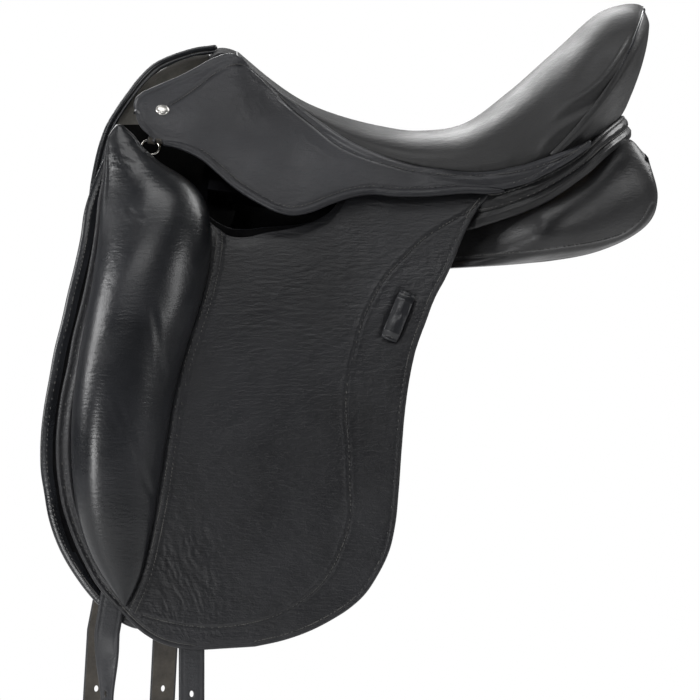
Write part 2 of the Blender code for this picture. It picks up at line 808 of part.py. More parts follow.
FLAP_FRONT = points_mm(
    (-276, -4), (-279.5, -20), (-281.5, -41.6), (-285.5, -61.5), (-287.8, -83.3), (-291.4, -108.6),
    (-295.9, -134), (-301.4, -159.3), (-307.7, -184.6), (-312.2, -210), (-317.7, -235.3),
    (-321.3, -260.6), (-322.6, -287.8), (-320.8, -315), (-318, -333), (-313, -351), (-306.3, -369),
    (-297.7, -387.3), (-287.8, -405.4), (-267, -430), (-244.4, -451.6), (-230.8, -459.7),
    (-214.5, -464.7), (-198, -467),
)
FLAP_REAR = points_mm(
    (70, -53), (65, -60), (57, -69), (49.5, -81.5), (43, -95), (33.5, -118), (26, -134),
    (19, -146.6), (9, -172), (0, -197.3), (-5.5, -222.6), (-9.5, -250), (-12.7, -286),
    (-15.3, -324), (-18.5, -355), (-23.5, -377), (-34.4, -400), (-46, -417), (-60, -429.5),
    (-73.3, -438), (-98.6, -450.7), (-120, -458), (-144, -463.4),
)
SWEAT_FRONT = points_mm(
    (-286, -20), (-292.5, -45.3), (-297.7, -70.6), (-301.4, -96), (-306.8, -121.3), (-313, -146.6),
    (-318.6, -172), (-324.9, -197.3), (-329.4, -222.6), (-333.9, -248), (-336.7, -273.3),
    (-337.2, -292), (-336.7, -306), (-333.9, -324), (-329.4, -349.3), (-320.4, -374.7),
    (-306, -400), (-287, -424.5), (-267, -441), (-254, -447), (-240, -449), (-220, -450.5),
    (-185, -454),
)
SWEAT_REAR = points_mm(
    (48, -70), (38, -84), (26, -106), (12, -132), (1, -156), (-8, -182), (-15, -208), (-20, -243),
    (-24, -279), (-26, -315), (-30, -350), (-35, -374), (-44, -395), (-56, -411), (-72, -427),
    (-92, -440), (-116, -449), (-145, -455),
)
SWEAT_DROP = 16 * MM
DEE_NOTCH = ((-254.5, 30), (-254, -10), (-241, -35), (-222, -35), (-220, 30))
BAR_NOTCH = (
    (-193, 30), (-193, -62), (-175, -86), (-142, -95), (-113, -88), (-88, -76), (-77, -62), (-77, 30),
)


def notch(name, side, outline):
    """A cutter across the side of the saddle, from its side-view outline."""
    width = Matrix(((1, 0, 0, 0), (0, 0, side, 0), (0, 1, 0, 0), (0, 0, 0, 1)))
    corners = [(x * MM, z * MM) for x, z in outline]
    return as_cutter(extruded(name, width, corners, 0.03, 0.25, steel()))


def flap_grid(front, rear, rows, columns, drop):
    """The flap's side view: its first row runs along the lift line, this far under it."""
    left, right = smooth_path(front, rows), smooth_path(rear, rows)
    for corner in (left[0], right[0]):
        corner.y = lift_z(corner.x) - drop
    return ruled(left, right, columns)


def flap(label, side, hinge):
    grid = flap_grid(FLAP_FRONT, FLAP_REAR, 15, 9, 0.8 * MM)
    obj = side_sheet(f"flap_{label}", side, grid, 0.0, FLAP_THICK, flap_leather(), hinge)
    cut(obj, notch(f"dee_notch_{label}", side, DEE_NOTCH))
    cut(obj, notch(f"bar_notch_{label}", side, BAR_NOTCH))


def sweat_flap(label, side, hinge):
    grid = flap_grid(SWEAT_FRONT, SWEAT_REAR, 14, 7, SWEAT_DROP)
    obj = side_sheet(f"sweat_flap_{label}", side, grid, SWEAT_OFFSET, SWEAT_THICK, flap_leather(), hinge)
    cut(obj, bpy.data.objects[f"bar_notch_{label}"])


BLOCK_FRONT = points_mm(
    (-268, 4), (-275, -5), (-278, -20), (-280.1, -43.4), (-282.4, -61.5), (-285.5, -97.7),
    (-290.5, -134), (-296.8, -170), (-303.2, -206.3), (-307.7, -242.5), (-309.5, -278.7),
    (-307.7, -315), (-302.3, -351), (-288.7, -387.3), (-277.8, -405.4), (-263, -426),
)
BLOCK_REAR = points_mm(
    (-262, 3), (-256.5, -4), (-254, -17), (-244.4, -25.5), (-230.8, -32), (-217, -39),
    (-203.6, -48.5), (-194.6, -59), (-188, -71), (-184.6, -84.2), (-183.3, -99.6), (-184.8, -117.7),
    (-188.2, -136), (-194, -158), (-205, -193), (-217, -239), (-224, -281), (-231, -325),
    (-238, -365), (-247, -401), (-259, -427),
)
BLOCK_HEIGHT = [v * MM for v in (4, 16, 30, 38, 41, 41, 39, 34, 26, 15, 4)]
# How its crown leans: towards the back at the top, towards the front further down
BLOCK_LEAN = (1.15, 0.66)
BLOCK_COVER = 2.4 * MM
FOAM_INSET = 0.14
BLOCK_BASE = FLAP_THICK / 2 + GAP


def block_height(s, t):
    """Height of the knee block over the flap: s from its top down, t from its front edge back."""
    lean = blend(*BLOCK_LEAN, ease((s - 0.12) / 0.25))
    return BLOCK_COVER + track(BLOCK_HEIGHT, s) * fullness(t, lean)


def knee_block(label, side, hinge):
    rows, columns = 14, 8
    front, rear = smooth_path(BLOCK_FRONT, rows), smooth_path(BLOCK_REAR, rows)

    def layer(first, last, height):
        grid = []
        for i in range(first, rows - first):
            s = i / (rows - 1)
            grid.append([])
            for k in range(columns):
                t = blend(last, 1 - last, k / (columns - 1))
                p = front[i].lerp(rear[i], t)
                grid[-1].append(side_point(side, p.x, p.y, BLOCK_BASE + height(s, t)))
        return grid

    outer = layer(0, 0.0, block_height)
    inner = layer(0, 0.0, lambda s, t: block_height(s, t) - BLOCK_COVER)
    shell(f"knee_block_cover_{label}", outer, inner, block_leather(), hinge)
    top = layer(2, FOAM_INSET, lambda s, t: block_height(s, t) - BLOCK_COVER - 2.4 * MM)
    bottom = layer(2, FOAM_INSET, lambda s, t: GAP)
    shell(f"knee_block_foam_{label}", top, bottom, foam(), hinge)


KEEPER_CENTRE = (-15.4 * MM, -167 * MM)
KEEPER_LENGTH, KEEPER_WIDTH, KEEPER_LEAN = 43.6 * MM, 14 * MM, math.radians(22)


def keeper(label, side, hinge):
    """The loop that holds the end of the stirrup leather: sewn at both ends, arched between."""
    along = Vector((math.sin(KEEPER_LEAN), math.cos(KEEPER_LEAN)))
    across = Vector((along.y, -along.x))
    centre = Vector(KEEPER_CENTRE)
    grid = []
    for k in range(9):
        middle = centre + along * KEEPER_LENGTH * (k / 8 - 0.5)
        grid.append([middle + across * KEEPER_WIDTH * j for j in (-0.5, 0, 0.5)])

    def arch(p):
        reach = (p - centre).dot(along) / KEEPER_LENGTH
        return 4.2 * MM * max(0.0, math.cos(math.pi * reach)) ** 0.6

    offset = FLAP_THICK / 2 + GAP + 1.1 * MM
    side_sheet(f"keeper_{label}", side, grid, offset, 2.2 * MM, flap_leather(), hinge, arch)


# ---------------------------------------------------------------- girth straps

# How each strap lies from its top down; the right-hand pair hangs a little further forward
STRAP_PATHS = {
    "front": {
        "left": points_mm((-218, -98), (-231, -190), (-249, -290), (-266, -390), (-274, -452)),
        "right": points_mm((-218, -98), (-233, -190), (-254, -290), (-274, -390), (-284, -452)),
    },
    "rear": {
        "left": points_mm((-150, -118), (-166, -210), (-184, -310), (-197, -410), (-201, -456)),
        "right": points_mm((-150, -118), (-170, -210), (-195, -310), (-218, -410), (-227, -456)),
    },
}
STRAP_SEWN = 12 * MM
STRAP_END = -700 * MM
STRAP_STRAIGHT = -474 * MM
STRAP_ROWS = 9
HOLE_FIRST, HOLE_STEP, HOLES = -506 * MM, -22 * MM, 8
HOLE_RADIUS, HOLE_REACH = 2 * MM, 6 * MM


def girth_strap(name, side, path, hinge):
    rows = smooth_path(path, STRAP_ROWS)
    foot = rows[-1]
    middle = side_point(side, foot.x, foot.y, STRAP_OFFSET).y
    reach = (-STRAP_WIDTH / 2, 0.0, STRAP_WIDTH / 2)
    layers = []
    for half in (STRAP_THICK / 2, -STRAP_THICK / 2):
        layer = [[side_point(side, p.x + k, p.y, STRAP_OFFSET + half) for k in reach] for p in rows]
        for z in (STRAP_STRAIGHT, STRAP_END):
            layer.append([Vector((foot.x + k, middle + side * half, z)) for k in reach])
        layers.append(layer)
    strap = shell(name, *layers, strap_leather(), hinge)
    for k in range(HOLES):
        centre = Vector((foot.x, middle, HOLE_FIRST + k * HOLE_STEP))
        place = frame_of(centre, Vector((1, 0, 0)), Vector((0, 0, 1)))
        bore = ((HOLE_RADIUS, -HOLE_REACH), (HOLE_RADIUS, HOLE_REACH))
        cut(strap, as_cutter(turned(f"{name}_hole_{k}", place, bore, 6, steel())))


# ---------------------------------------------------------------- skirt

SKIRT_TIP_TOP = points_mm((-254, 89, 21.7), (-251.5, 85, 29.5), (-245, 79, 35))
SKIRT_HEAD_TOP = points_mm(
    (-245, 79, 35), (-230, 71, 41), (-211, 61, 49.5), (-196, 54, 57.5), (-182, 48, 65),
    (-169, 45.5, 69),
)
SKIRT_TIP_LOWER = points_mm((-253.5, 10), (-246, -2), (-238, -7.2))
SKIRT_LINE = (-236 * MM, 80 * MM)
SKIRT_SEAM_OUT = 3.4 * MM
SKIRT_TAIL_TOP = points_mm((99, 132, -32.5), (118, 134, -26), (137, 131, -19), (155, 121, -9.5))
SKIRT_TAIL_LOWER = points_mm(
    (88, 135, -51), (104, 137, -46), (121, 138, -37), (139, 133, -27), (157, 122, -14),
)
SKIRT_LOBE = points_mm(
    (-231, -10.8), (-211, -18), (-193, -27), (-180, -37.6), (-167, -48.6), (-152, -58.8),
    (-137.6, -67), (-124, -73.3), (-109.6, -76), (-95, -73.3), (-76.4, -66), (-58, -59.7),
    (-39.5, -57), (-17, -58.8), (4.5, -58.8), (42, -56), (68, -54),
)
LOBE_LINE = (-232 * MM, 70 * MM)
SKIRT_COLUMNS = 19


STUD_HOLE = profile_mm((1.6, -9), (1.6, 9))


def skirt_seam(u):
    """The skirt's top edge where it is sewn to the seat's seam line."""
    point = seat_point(u, 1.0)
    return point + Vector((0, SKIRT_SEAM_OUT, 0))


def skirt_head_edges():
    top = smooth_path(SKIRT_TIP_TOP, 3)[:-1]
    seam = [skirt_seam(u) for u in (0.06, 0.15, 0.25, 0.35, 0.45, 0.55, 0.65, 0.75)]
    top += smooth_path(SKIRT_HEAD_TOP + seam + SKIRT_TAIL_TOP[:1], SKIRT_COLUMNS)[:-1]
    top += smooth_path(SKIRT_TAIL_TOP, 5)
    bottom = [side_point(1, p.x, p.y, SKIRT_OFFSET) for p in SKIRT_TIP_LOWER[:-1]]
    for k in range(SKIRT_COLUMNS - 1):
        x = blend(*SKIRT_LINE, k / (SKIRT_COLUMNS - 2))
        bottom.append(side_point(1, x, lift_z(x) + GAP, SKIRT_OFFSET))
    bottom += smooth_path(SKIRT_TAIL_LOWER, 5)
    return top, bottom


def skirt_head(label, side):
    """The part of the skirt above the crease, which stays with the seat."""
    top, bottom = skirt_head_edges()

    def swollen(p, s, t):
        out = Vector((0, 0.85, 0.5)) * 2.5 * MM * math.sin(math.pi * t)
        return mirrored(side, p + out)

    grid = ruled(top, bottom, 5, swollen)
    half = Vector((0, SKIRT_THICK / 2 / side_normal(0, lift_z(0)).y, 0))
    front, back = [[[p + half * way for p in row] for row in grid] for way in (1, -1)]
    obj = shell(f"skirt_head_{label}", front, back, flap_leather())
    place = stud_frame(grid, side)
    cut(obj, as_cutter(turned(f"stud_hole_{label}", place, STUD_HOLE, 10, steel())))
    return place


STUD_PLACE = (-228 * MM, 19 * MM)
STUD_RADIUS = 6 * MM


def stud_frame(grid, side):
    """Placed at the skirt's point nearest the stud's place, third axis square to the leather."""
    best = None
    for i in range(len(grid) - 1):
        for k in range(len(grid[0]) - 1):
            a, b, c = grid[i][k], grid[i + 1][k], grid[i][k + 1]
            middle = (a + b + c + grid[i + 1][k + 1]) / 4
            away = (Vector((middle.x, middle.z)) - Vector(STUD_PLACE)).length
            if best is None or away < best[0]:
                best = (away, middle, b - a, c - a)
    _, middle, along, across = best
    normal = along.cross(across)
    if normal.y * side < 0:
        across = -across
    return frame_of(middle, along, across)


def stud(label, place):
    face = SKIRT_THICK / 2 + GAP
    profile = (
        (1.2 * MM, -7 * MM), (1.2 * MM, face), (STUD_RADIUS, face), (STUD_RADIUS, face + 0.8 * MM),
        (0.8 * STUD_RADIUS, face + 2 * MM), (0.4 * STUD_RADIUS, face + 2.7 * MM),
    )
    turned(f"stud_{label}", place, profile, 14, nickel())


def skirt_lobe(label, side, hinge):
    """The part of the skirt below the crease, which lifts to show the stirrup bar."""
    lower = smooth_path(SKIRT_LOBE, SKIRT_COLUMNS)
    upper = []
    for k in range(SKIRT_COLUMNS):
        x = blend(*LOBE_LINE, k / (SKIRT_COLUMNS - 1))
        upper.append(Vector((x, lift_z(x) - GAP)))

    def lift(p):
        return SKIRT_LOBE_LIFT * min(1.0, max(0.0, lift_z(p.x) - p.y) / (45 * MM))

    grid = ruled(upper, lower, 4)
    side_sheet(f"skirt_{label}", side, grid, SKIRT_OFFSET, SKIRT_THICK, flap_leather(), hinge, lift)


# ---------------------------------------------------------------- dee ring

DEE_PIVOT = (-237.5 * MM, -8.2 * MM)
DEE_RADIUS, DEE_WIRE = 8.1 * MM, 1.1 * MM
DEE_OFFSET = 1.0 * MM
CHAPE_LOOP, CHAPE_THICK, CHAPE_WIDTH = 2.9 * MM, 1.2 * MM, 6 * MM
CHAPE_REACH = 17 * MM


def dee_frame(side):
    """First axis along the hinge, second down the ring, third across it."""
    pivot = side_point(1, *DEE_PIVOT, DEE_OFFSET)
    outwards = side_normal(*DEE_PIVOT)
    along = Vector((1, LIFT_FLARE, LIFT_SLOPE)).normalized()
    down = along.cross(outwards)
    if down.z > 0:
        down = -down
    return side_frame(side, frame_of(pivot, along, down))


def dee(label, side):
    frame = dee_frame(side)
    turns = [math.tau * k / 16 for k in range(16)]
    centre = DEE_RADIUS - 0.3 * MM
    path = []
    for a in turns:
        path.append(frame @ Vector((DEE_RADIUS * math.sin(a), centre - DEE_RADIUS * math.cos(a), 0)))
    tube(f"dee_{label}", path, DEE_WIRE, 6, nickel(), frame.translation.copy(), closed=True)
    tail = [Vector((0, -CHAPE_REACH, -CHAPE_LOOP)), Vector((0, -CHAPE_REACH / 2, -CHAPE_LOOP))]
    path = tail + [Vector((0, 0, -CHAPE_LOOP))]
    for k in range(1, 8):
        a = math.radians(27 * k)
        path.append(Vector((0, CHAPE_LOOP * math.sin(a), -CHAPE_LOOP * math.cos(a))))
    grid = [[frame @ (p + Vector((k * CHAPE_WIDTH / 2, 0, 0))) for k in (-1, 1)] for p in path]
    sheet(f"dee_chape_{label}", grid, CHAPE_THICK, strap_leather())


# ---------------------------------------------------------------- assembly


def lift_hinge(side):
    """A point of the lift axis, on the skirt's outer face."""
    x = -85 * MM
    return side_point(side, x, lift_z(x), SKIRT_OFFSET + SKIRT_THICK / 2)


def strap_hinge(side, path):
    """The middle of a strap's sewn top."""
    return side_point(side, path[0].x, path[0].y - STRAP_SEWN, STRAP_OFFSET)


def clear_scene():
    for obj in list(bpy.data.objects):
        bpy.data.objects.remove(obj, do_unlink=True)


def build():
    clear_scene()
    seat_cover()
    seat_padding()
    girth_web()
    pommel_cover()
    cantle()
    rear_facing()
    plates = (tree(), head_plate())
    cantle_plate()
    gullet_lining()
    for label, side in SIDES:
        spring(label, side)
        stirrup_bar(label, side, plates)
        panel(label, side)
        panel_welt(label, side)
        point_pocket(label, side)
        hinge = lift_hinge(side)
        flap(label, side, hinge)
        sweat_flap(label, side, hinge)
        knee_block(label, side, hinge)
        keeper(label, side, hinge)
        for place, paths in STRAP_PATHS.items():
            top = strap_hinge(side, paths[label])
            girth_strap(f"girth_strap_{place}_{label}", side, paths[label], top)
        stud(label, skirt_head(label, side))
        skirt_lobe(label, side, hinge)
        dee(label, side)


build()
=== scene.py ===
"""Looks of the English saddle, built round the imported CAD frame.

Metres, +X towards the cantle, -Y the near side, +Z up. Outlines are side views, (x, z) in mm.
Leather pieces are closed shells grown from the same surfaces as the CAD solids, with
seams, creases and rolled edges raised in the mesh, and stitches laid on top of them.
"""

import math

import bpy
import numpy as np
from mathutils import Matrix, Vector
from mathutils.bvhtree import BVHTree


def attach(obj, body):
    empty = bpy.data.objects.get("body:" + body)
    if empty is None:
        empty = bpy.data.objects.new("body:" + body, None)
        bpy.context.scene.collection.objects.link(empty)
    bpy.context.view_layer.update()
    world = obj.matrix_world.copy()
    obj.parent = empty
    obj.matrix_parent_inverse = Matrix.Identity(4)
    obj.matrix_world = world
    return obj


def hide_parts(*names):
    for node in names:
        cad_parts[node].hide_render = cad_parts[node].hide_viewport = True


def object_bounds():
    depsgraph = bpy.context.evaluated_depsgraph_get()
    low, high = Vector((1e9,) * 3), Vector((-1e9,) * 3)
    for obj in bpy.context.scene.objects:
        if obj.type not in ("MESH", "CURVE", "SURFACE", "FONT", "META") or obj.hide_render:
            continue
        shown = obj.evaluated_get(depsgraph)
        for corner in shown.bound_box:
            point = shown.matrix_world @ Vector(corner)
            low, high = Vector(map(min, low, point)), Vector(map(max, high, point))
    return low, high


MM = 0.001
SIDES = (("left", -1), ("right", 1))

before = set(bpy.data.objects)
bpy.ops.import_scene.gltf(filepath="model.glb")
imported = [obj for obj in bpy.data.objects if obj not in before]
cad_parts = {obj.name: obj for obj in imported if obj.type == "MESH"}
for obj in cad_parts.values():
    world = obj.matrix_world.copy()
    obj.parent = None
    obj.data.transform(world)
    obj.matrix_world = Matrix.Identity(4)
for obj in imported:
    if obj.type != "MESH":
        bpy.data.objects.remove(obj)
CAD_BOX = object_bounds()


# ---------------------------------------------------------------- curves and surfaces


def mm(*points):
    return np.array(points, float) * MM


def blend(a, b, t):
    return a * (1 - t) + b * t


def unit(v):
    """Vectors scaled to a length of one."""
    return v / np.maximum(np.linalg.norm(v, axis=-1, keepdims=True), 1e-12)


def ease(t):
    t = np.clip(t, 0.0, 1.0)
    return t * t * (3 - 2 * t)


def track(values, s):
    """A smooth run through evenly spaced values, with s from 0 to 1."""
    values = np.asarray(values, float)
    s = np.clip(np.asarray(s, float), 0.0, 1.0)
    spans = len(values) - 1
    padded = np.concatenate([values[:1] * 2 - values[1:2], values, values[-1:] * 2 - values[-2:-1]])
    i = np.minimum((s * spans).astype(int), spans - 1)
    t = s * spans - i
    if values.ndim > 1:
        t = t[..., None]
    before, first, last, after = (padded[i + k] for k in range(4))
    slope_first = (last - before) / 2
    slope_last = (after - first) / 2
    rise = last - first
    bend = slope_first + slope_last - rise * 2
    return first + (slope_first + (rise * 3 - slope_first * 2 - slope_last + bend * t) * t) * t


def resampled(path, count):
    """The polyline's points moved to even spacing."""
    lengths = np.concatenate([[0.0], np.cumsum(np.linalg.norm(np.diff(path, axis=0), axis=1))])
    at = np.linspace(0, lengths[-1], count)
    return np.stack([np.interp(at, lengths, path[:, k]) for k in range(path.shape[1])], axis=1)


def smooth_path(points, count):
    """Evenly spaced points on a smooth curve through the given ones."""
    points = np.asarray(points, float)
    knots = np.concatenate([points[:1] * 2 - points[1:2], points, points[-1:] * 2 - points[-2:-1]])
    t = (np.arange(16) / 16)[:, None]
    dense = []
    for before, a, b, after in zip(knots, knots[1:], knots[2:], knots[3:]):
        span = np.linalg.norm(b - a)
        back, ahead = np.linalg.norm(a - before), np.linalg.norm(after - b)
        slope_a = ((a - before) / back * span + (b - a) / span * back) / (back + span)
        slope_b = ((b - a) / span * ahead + (after - b) / ahead * span) / (ahead + span)
        hermite = a * (1 + 2 * t) * (1 - t) ** 2 + b * (3 - 2 * t) * t * t
        dense.append(hermite + slope_a * span * t * (1 - t) ** 2 - slope_b * span * t * t * (1 - t))
    dense.append(points[-1:])
    return resampled(np.concatenate(dense), count)


def between(first, last, t):
    """A grid from each point of one edge straight to the same point of the other, at the shares in t."""
    return first[:, None] * (1 - t[..., None]) + last[:, None] * t[..., None]


def ruled(first, last, columns):
    return between(first, last, np.linspace(0, 1, columns)[None, :])


def eased_grid(rows, columns):
    """Shares down and across a grid, with its columns closer together at both edges."""
    s, t = np.meshgrid(np.linspace(0, 1, rows), np.linspace(0, 1, columns), indexing="ij")
    return s, 0.5 - 0.5 * np.cos(math.pi * t)


# The line that the flaps lift about, and how the saddle's half-width grows along it and below it
LIFT_Z, LIFT_SLOPE = -0.0414, -0.1416
LIFT_WIDTH, LIFT_FLARE = 0.118, 0.06
BELLY, BELLY_DROP = 0.130, 0.190
# In front, the flaps wrap a little round the shoulder
WRAP_START, WRAP, WRAP_DROP = -0.200, 0.6, 0.15


def lift_z(x):
    return LIFT_Z + LIFT_SLOPE * x


def half_width(x, z):
    """Half-width of the flap's middle: straight along the lift line, then barrel-shaped below."""
    drop = lift_z(x) - z
    width = LIFT_WIDTH + LIFT_FLARE * x
    below = np.maximum(drop, 0.0)
    wrap = WRAP * np.maximum(0.0, WRAP_START - x) ** 2 * np.minimum(1.0, below / WRAP_DROP)
    straight = width + BELLY / BELLY_DROP * drop
    round_below = width + BELLY * (1 - np.exp(-below / BELLY_DROP)) - wrap
    return np.where(drop < 0, straight, round_below)


def side_normal(x, z):
    step = 1 * MM
    slope_x = (half_width(x + step, z) - half_width(x - step, z)) / (2 * step)
    slope_z = (half_width(x, z + step) - half_width(x, z - step)) / (2 * step)
    size = np.sqrt(slope_x**2 + 1 + slope_z**2)
    return -slope_x / size, 1 / size, -slope_z / size


def side_points(side, x, z, offset=0.0):
    """The points at (x, z) in a side view, on the surface parallel to the flap at this offset."""
    base_x, base_z = x, z
    for _ in range(5):
        nx, ny, nz = side_normal(base_x, base_z)
        base_x = x - nx * offset
        base_z = z - nz * offset
    nx, ny, nz = side_normal(base_x, base_z)
    y = side * (half_width(base_x, base_z) + ny * offset)
    return np.stack([x + 0 * base_x, y, z + 0 * base_x], axis=-1)


# Stations along the seat from pommel to cantle: its middle line, then its seam's place and half-width
SEAT_X = mm(-160, -130, -100, -65, -30, 5, 45, 85, 125, 165, 205)
SEAT_Z = mm(72.5, 47.5, 27.5, 13.5, 5, 1.5, 8, 37, 72, 103, 116.5)
SEAM_X = mm(-158, -130, -102, -66, -32, 0, 30, 56, 80, 100, 118)
SEAM_Z = mm(66, 40, 18, -6, -23, -32, -37, -39, -36, -31, -24)
SEAM_W = mm(44, 55, 67, 84, 98, 108, 116, 121, 125, 128, 129)
SEAM_BEND = 3.5


def seat_points(u, v):
    """The seat's outer surface: u from pommel to cantle, v from the left seam to the right one."""
    bend = np.abs(v) ** SEAM_BEND
    angle = v * math.pi / 2
    top = track(SEAT_Z, u)
    sink = (1 - np.cos(angle)) ** (1 + 0.3 * u)
    return np.stack([
        blend(track(SEAT_X, u), track(SEAM_X, u), bend),
        track(SEAM_W, u) * np.sin(angle),
        top - (top - track(SEAM_Z, u)) * sink,
    ], axis=-1)


# ---------------------------------------------------------------- relief

CELLS = 64
LATTICE = np.random.RandomState(7).uniform(-1, 1, (CELLS, CELLS))


def noise(x, y):
    """Smooth noise from -1 to 1, with a cell one unit wide."""
    i, j = np.floor(x).astype(int), np.floor(y).astype(int)
    a, b = ease(x - i), ease(y - j)
    left, right, below, above = i % CELLS, (i + 1) % CELLS, j % CELLS, (j + 1) % CELLS
    low = blend(LATTICE[left, below], LATTICE[right, below], a)
    high = blend(LATTICE[left, above], LATTICE[right, above], a)
    return blend(low, high, b)


def turned(x, z, degrees):
    c, s = math.cos(math.radians(degrees)), math.sin(math.radians(degrees))
    return x * c + z * s, z * c - x * s


def wrinkles(x, z, degrees, length, pitch):
    """Fine creases from 0 to 1 that run along a direction, broken up by noise."""
    along, across = turned(x, z, degrees)
    sway = noise(along / length * 0.7 + 5, across / length * 0.7) * pitch * 1.6
    first = 1 - np.abs(noise(along / length + 9, (across + sway) / pitch))
    second = 1 - np.abs(noise(along / length * 1.7 + 31, (across + sway) / pitch * 1.6 + 13))
    return first**2.2 * 0.65 + second**2.2 * 0.35


def nearest(x, z, path):
    """Distance to a side-view path, which side of it (+1 left of its direction), and how far along."""
    best = np.full(np.shape(x), 1e9)
    sign = np.ones(np.shape(x))
    along = np.zeros(np.shape(x))
    run = 0.0
    for a, b in zip(path, path[1:]):
        d = b - a
        size = float(np.hypot(*d))
        t = np.clip(((x - a[0]) * d[0] + (z - a[1]) * d[1]) / size**2, 0, 1)
        away_x, away_z = x - a[0] - t * d[0], z - a[1] - t * d[1]
        away = np.hypot(away_x, away_z)
        closer = away < best
        best = np.where(closer, away, best)
        sign = np.where(closer, np.where(d[0] * away_z - d[1] * away_x >= 0, 1.0, -1.0), sign)
        along = np.where(closer, run + t * size, along)
        run += size
    return best, sign, along


def distance(x, z, path):
    return nearest(x, z, path)[0]


def bump(d, width):
    return np.exp(-((d / width) ** 2))


def zone(value, start, length):
    """0 before the start, 1 once this length past it, smooth between."""
    return ease((value - start) / length)


def raised(away, ridges):
    """Ridges along a line, or grooves below zero: each a height, a distance off it and a width, in mm."""
    return sum(height * MM * bump(away - off * MM, width * MM) for height, off, width in ridges)


def crinkled(x, z, height, degrees, length, pitch, level=0.5):
    """Wrinkles about their middle level; the height, length and pitch are in mm."""
    return height * MM * (wrinkles(x, z, degrees, length * MM, pitch * MM) - level)


def uneven(x, z, height, cell, shift_x=0, shift_z=0):
    """A soft unevenness; the height and the size of its cells are in mm."""
    return height * MM * noise(x / (cell * MM) + shift_x, z / (cell * MM) + shift_z)


def fold_fade(along, path, rise, fall):
    """Fades a fold in and out at its ends, over these shares of its length."""
    length = np.linalg.norm(np.diff(path, axis=0), axis=1).sum()
    return ease(along / (rise * length)) * ease((length - along) / (fall * length))


def normals(grid, facing):
    """Unit normals of a grid of points, on the side that the facing vector or points show."""
    along, across = np.gradient(grid, axis=0), np.gradient(grid, axis=1)
    n = unit(np.cross(along, across))
    return -n if np.sum(n * facing) < 0 else n


# ---------------------------------------------------------------- meshes

MADE = {}


def add_object(name, points, faces, surfaces, body, node=None, kinds=None):
    """A smooth-shaded mesh that rides on a body, in a CAD node's place; kinds gives each face's surface."""
    data = bpy.data.meshes.new(name)
    data.from_pydata(points.tolist(), [], faces)
    for surface in surfaces:
        data.materials.append(surface)
    if kinds is not None:
        data.polygons.foreach_set("material_index", np.asarray(kinds, np.int32))
    data.shade_smooth()
    data.update()
    obj = bpy.data.objects.new(name, data)
    bpy.context.scene.collection.objects.link(obj)
    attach(obj, body)
    if node:
        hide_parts(node)
    MADE[name] = obj


def grid_faces(start, rows, columns):
    i = np.arange(rows - 1)[:, None] * columns + np.arange(columns - 1)[None, :] + start
    return np.stack([i, i + 1, i + columns + 1, i + columns], axis=-1).reshape(-1, 4)


def border(rows, columns):
    """Indices round a grid's edge, in order."""
    top = [k for k in range(columns - 1)]
    right = [i * columns + columns - 1 for i in range(rows - 1)]
    bottom = [(rows - 1) * columns + k for k in range(columns - 1, 0, -1)]
    left = [i * columns for i in range(rows - 1, 0, -1)]
    return np.array(top + right + bottom + left)


RIM_LIMIT = 4 * MM
# A cord's domed end, as rings: share of its radius, and of its radius past the end
CAP_RINGS = ((0.8, 0.6), (0.35, 0.93))


def shell_mesh(front, back, rim_steps=4, bulge=1.0, flat_rows=()):
    """Points, faces and face kinds (0 front and rim, 1 back) of a closed shell with a rounded rim.

    bulge is how far the rim rounds out, 1 for a half circle; along the flat rows it stays flat.
    """
    rows, columns = front.shape[:2]
    count = rows * columns
    loop = border(rows, columns)
    inner_row = np.clip(loop // columns, 1, rows - 2)
    inner_column = np.clip(loop % columns, 1, columns - 2)
    inside = inner_row * columns + inner_column
    f, b = front.reshape(-1, 3), back.reshape(-1, 3)
    middle, half = (f[loop] + b[loop]) / 2, (f[loop] - b[loop]) / 2
    out = middle - (f[inside] + b[inside]) / 2
    along = unit(np.roll(middle, -1, axis=0) - np.roll(middle, 1, axis=0))
    out -= along * np.sum(out * along, axis=1, keepdims=True)
    thick = np.linalg.norm(half, axis=1, keepdims=True)
    across = unit(half)
    out = unit(out - across * np.sum(out * across, axis=1, keepdims=True))
    reach = np.minimum(thick, RIM_LIMIT) * bulge
    for row in flat_rows:
        reach = np.where((loop // columns == row % rows)[:, None], 0.0, reach)
    points = [f, b]
    rings = [loop]
    for k in range(1, rim_steps):
        angle = math.pi * k / rim_steps
        points.append(middle + half * math.cos(angle) + out * reach * math.sin(angle))
        rings.append(np.arange(len(loop)) + 2 * count + (k - 1) * len(loop))
    rings.append(loop + count)
    faces = [grid_faces(0, rows, columns), grid_faces(count, rows, columns)[:, ::-1]]
    kinds = [np.zeros(len(faces[0]), int), np.ones(len(faces[1]), int)]
    for low, high in zip(rings, rings[1:]):
        strip = np.stack([low, high, np.roll(high, -1), np.roll(low, -1)], axis=-1)
        faces.append(strip)
        kinds.append(np.zeros(len(strip), int))
    points = np.concatenate(points)
    faces, kinds = np.concatenate(faces), np.concatenate(kinds)
    corners = points[faces]
    volume = np.sum(np.cross(corners[:, 0], corners[:, 1]) * corners[:, 2])
    volume += np.sum(np.cross(corners[:, 0], corners[:, 2]) * corners[:, 3])
    if volume < 0:
        faces = faces[:, ::-1]
    return points, faces, kinds


def shell(name, front, back, surface, body, node, flat_rows=()):
    """A piece of leather or suede with its unfinished back, that stands for a CAD node."""
    points, faces, kinds = shell_mesh(front, back, flat_rows=flat_rows)
    add_object(name, points, faces.tolist(), [surface, BACK], body, node, kinds)


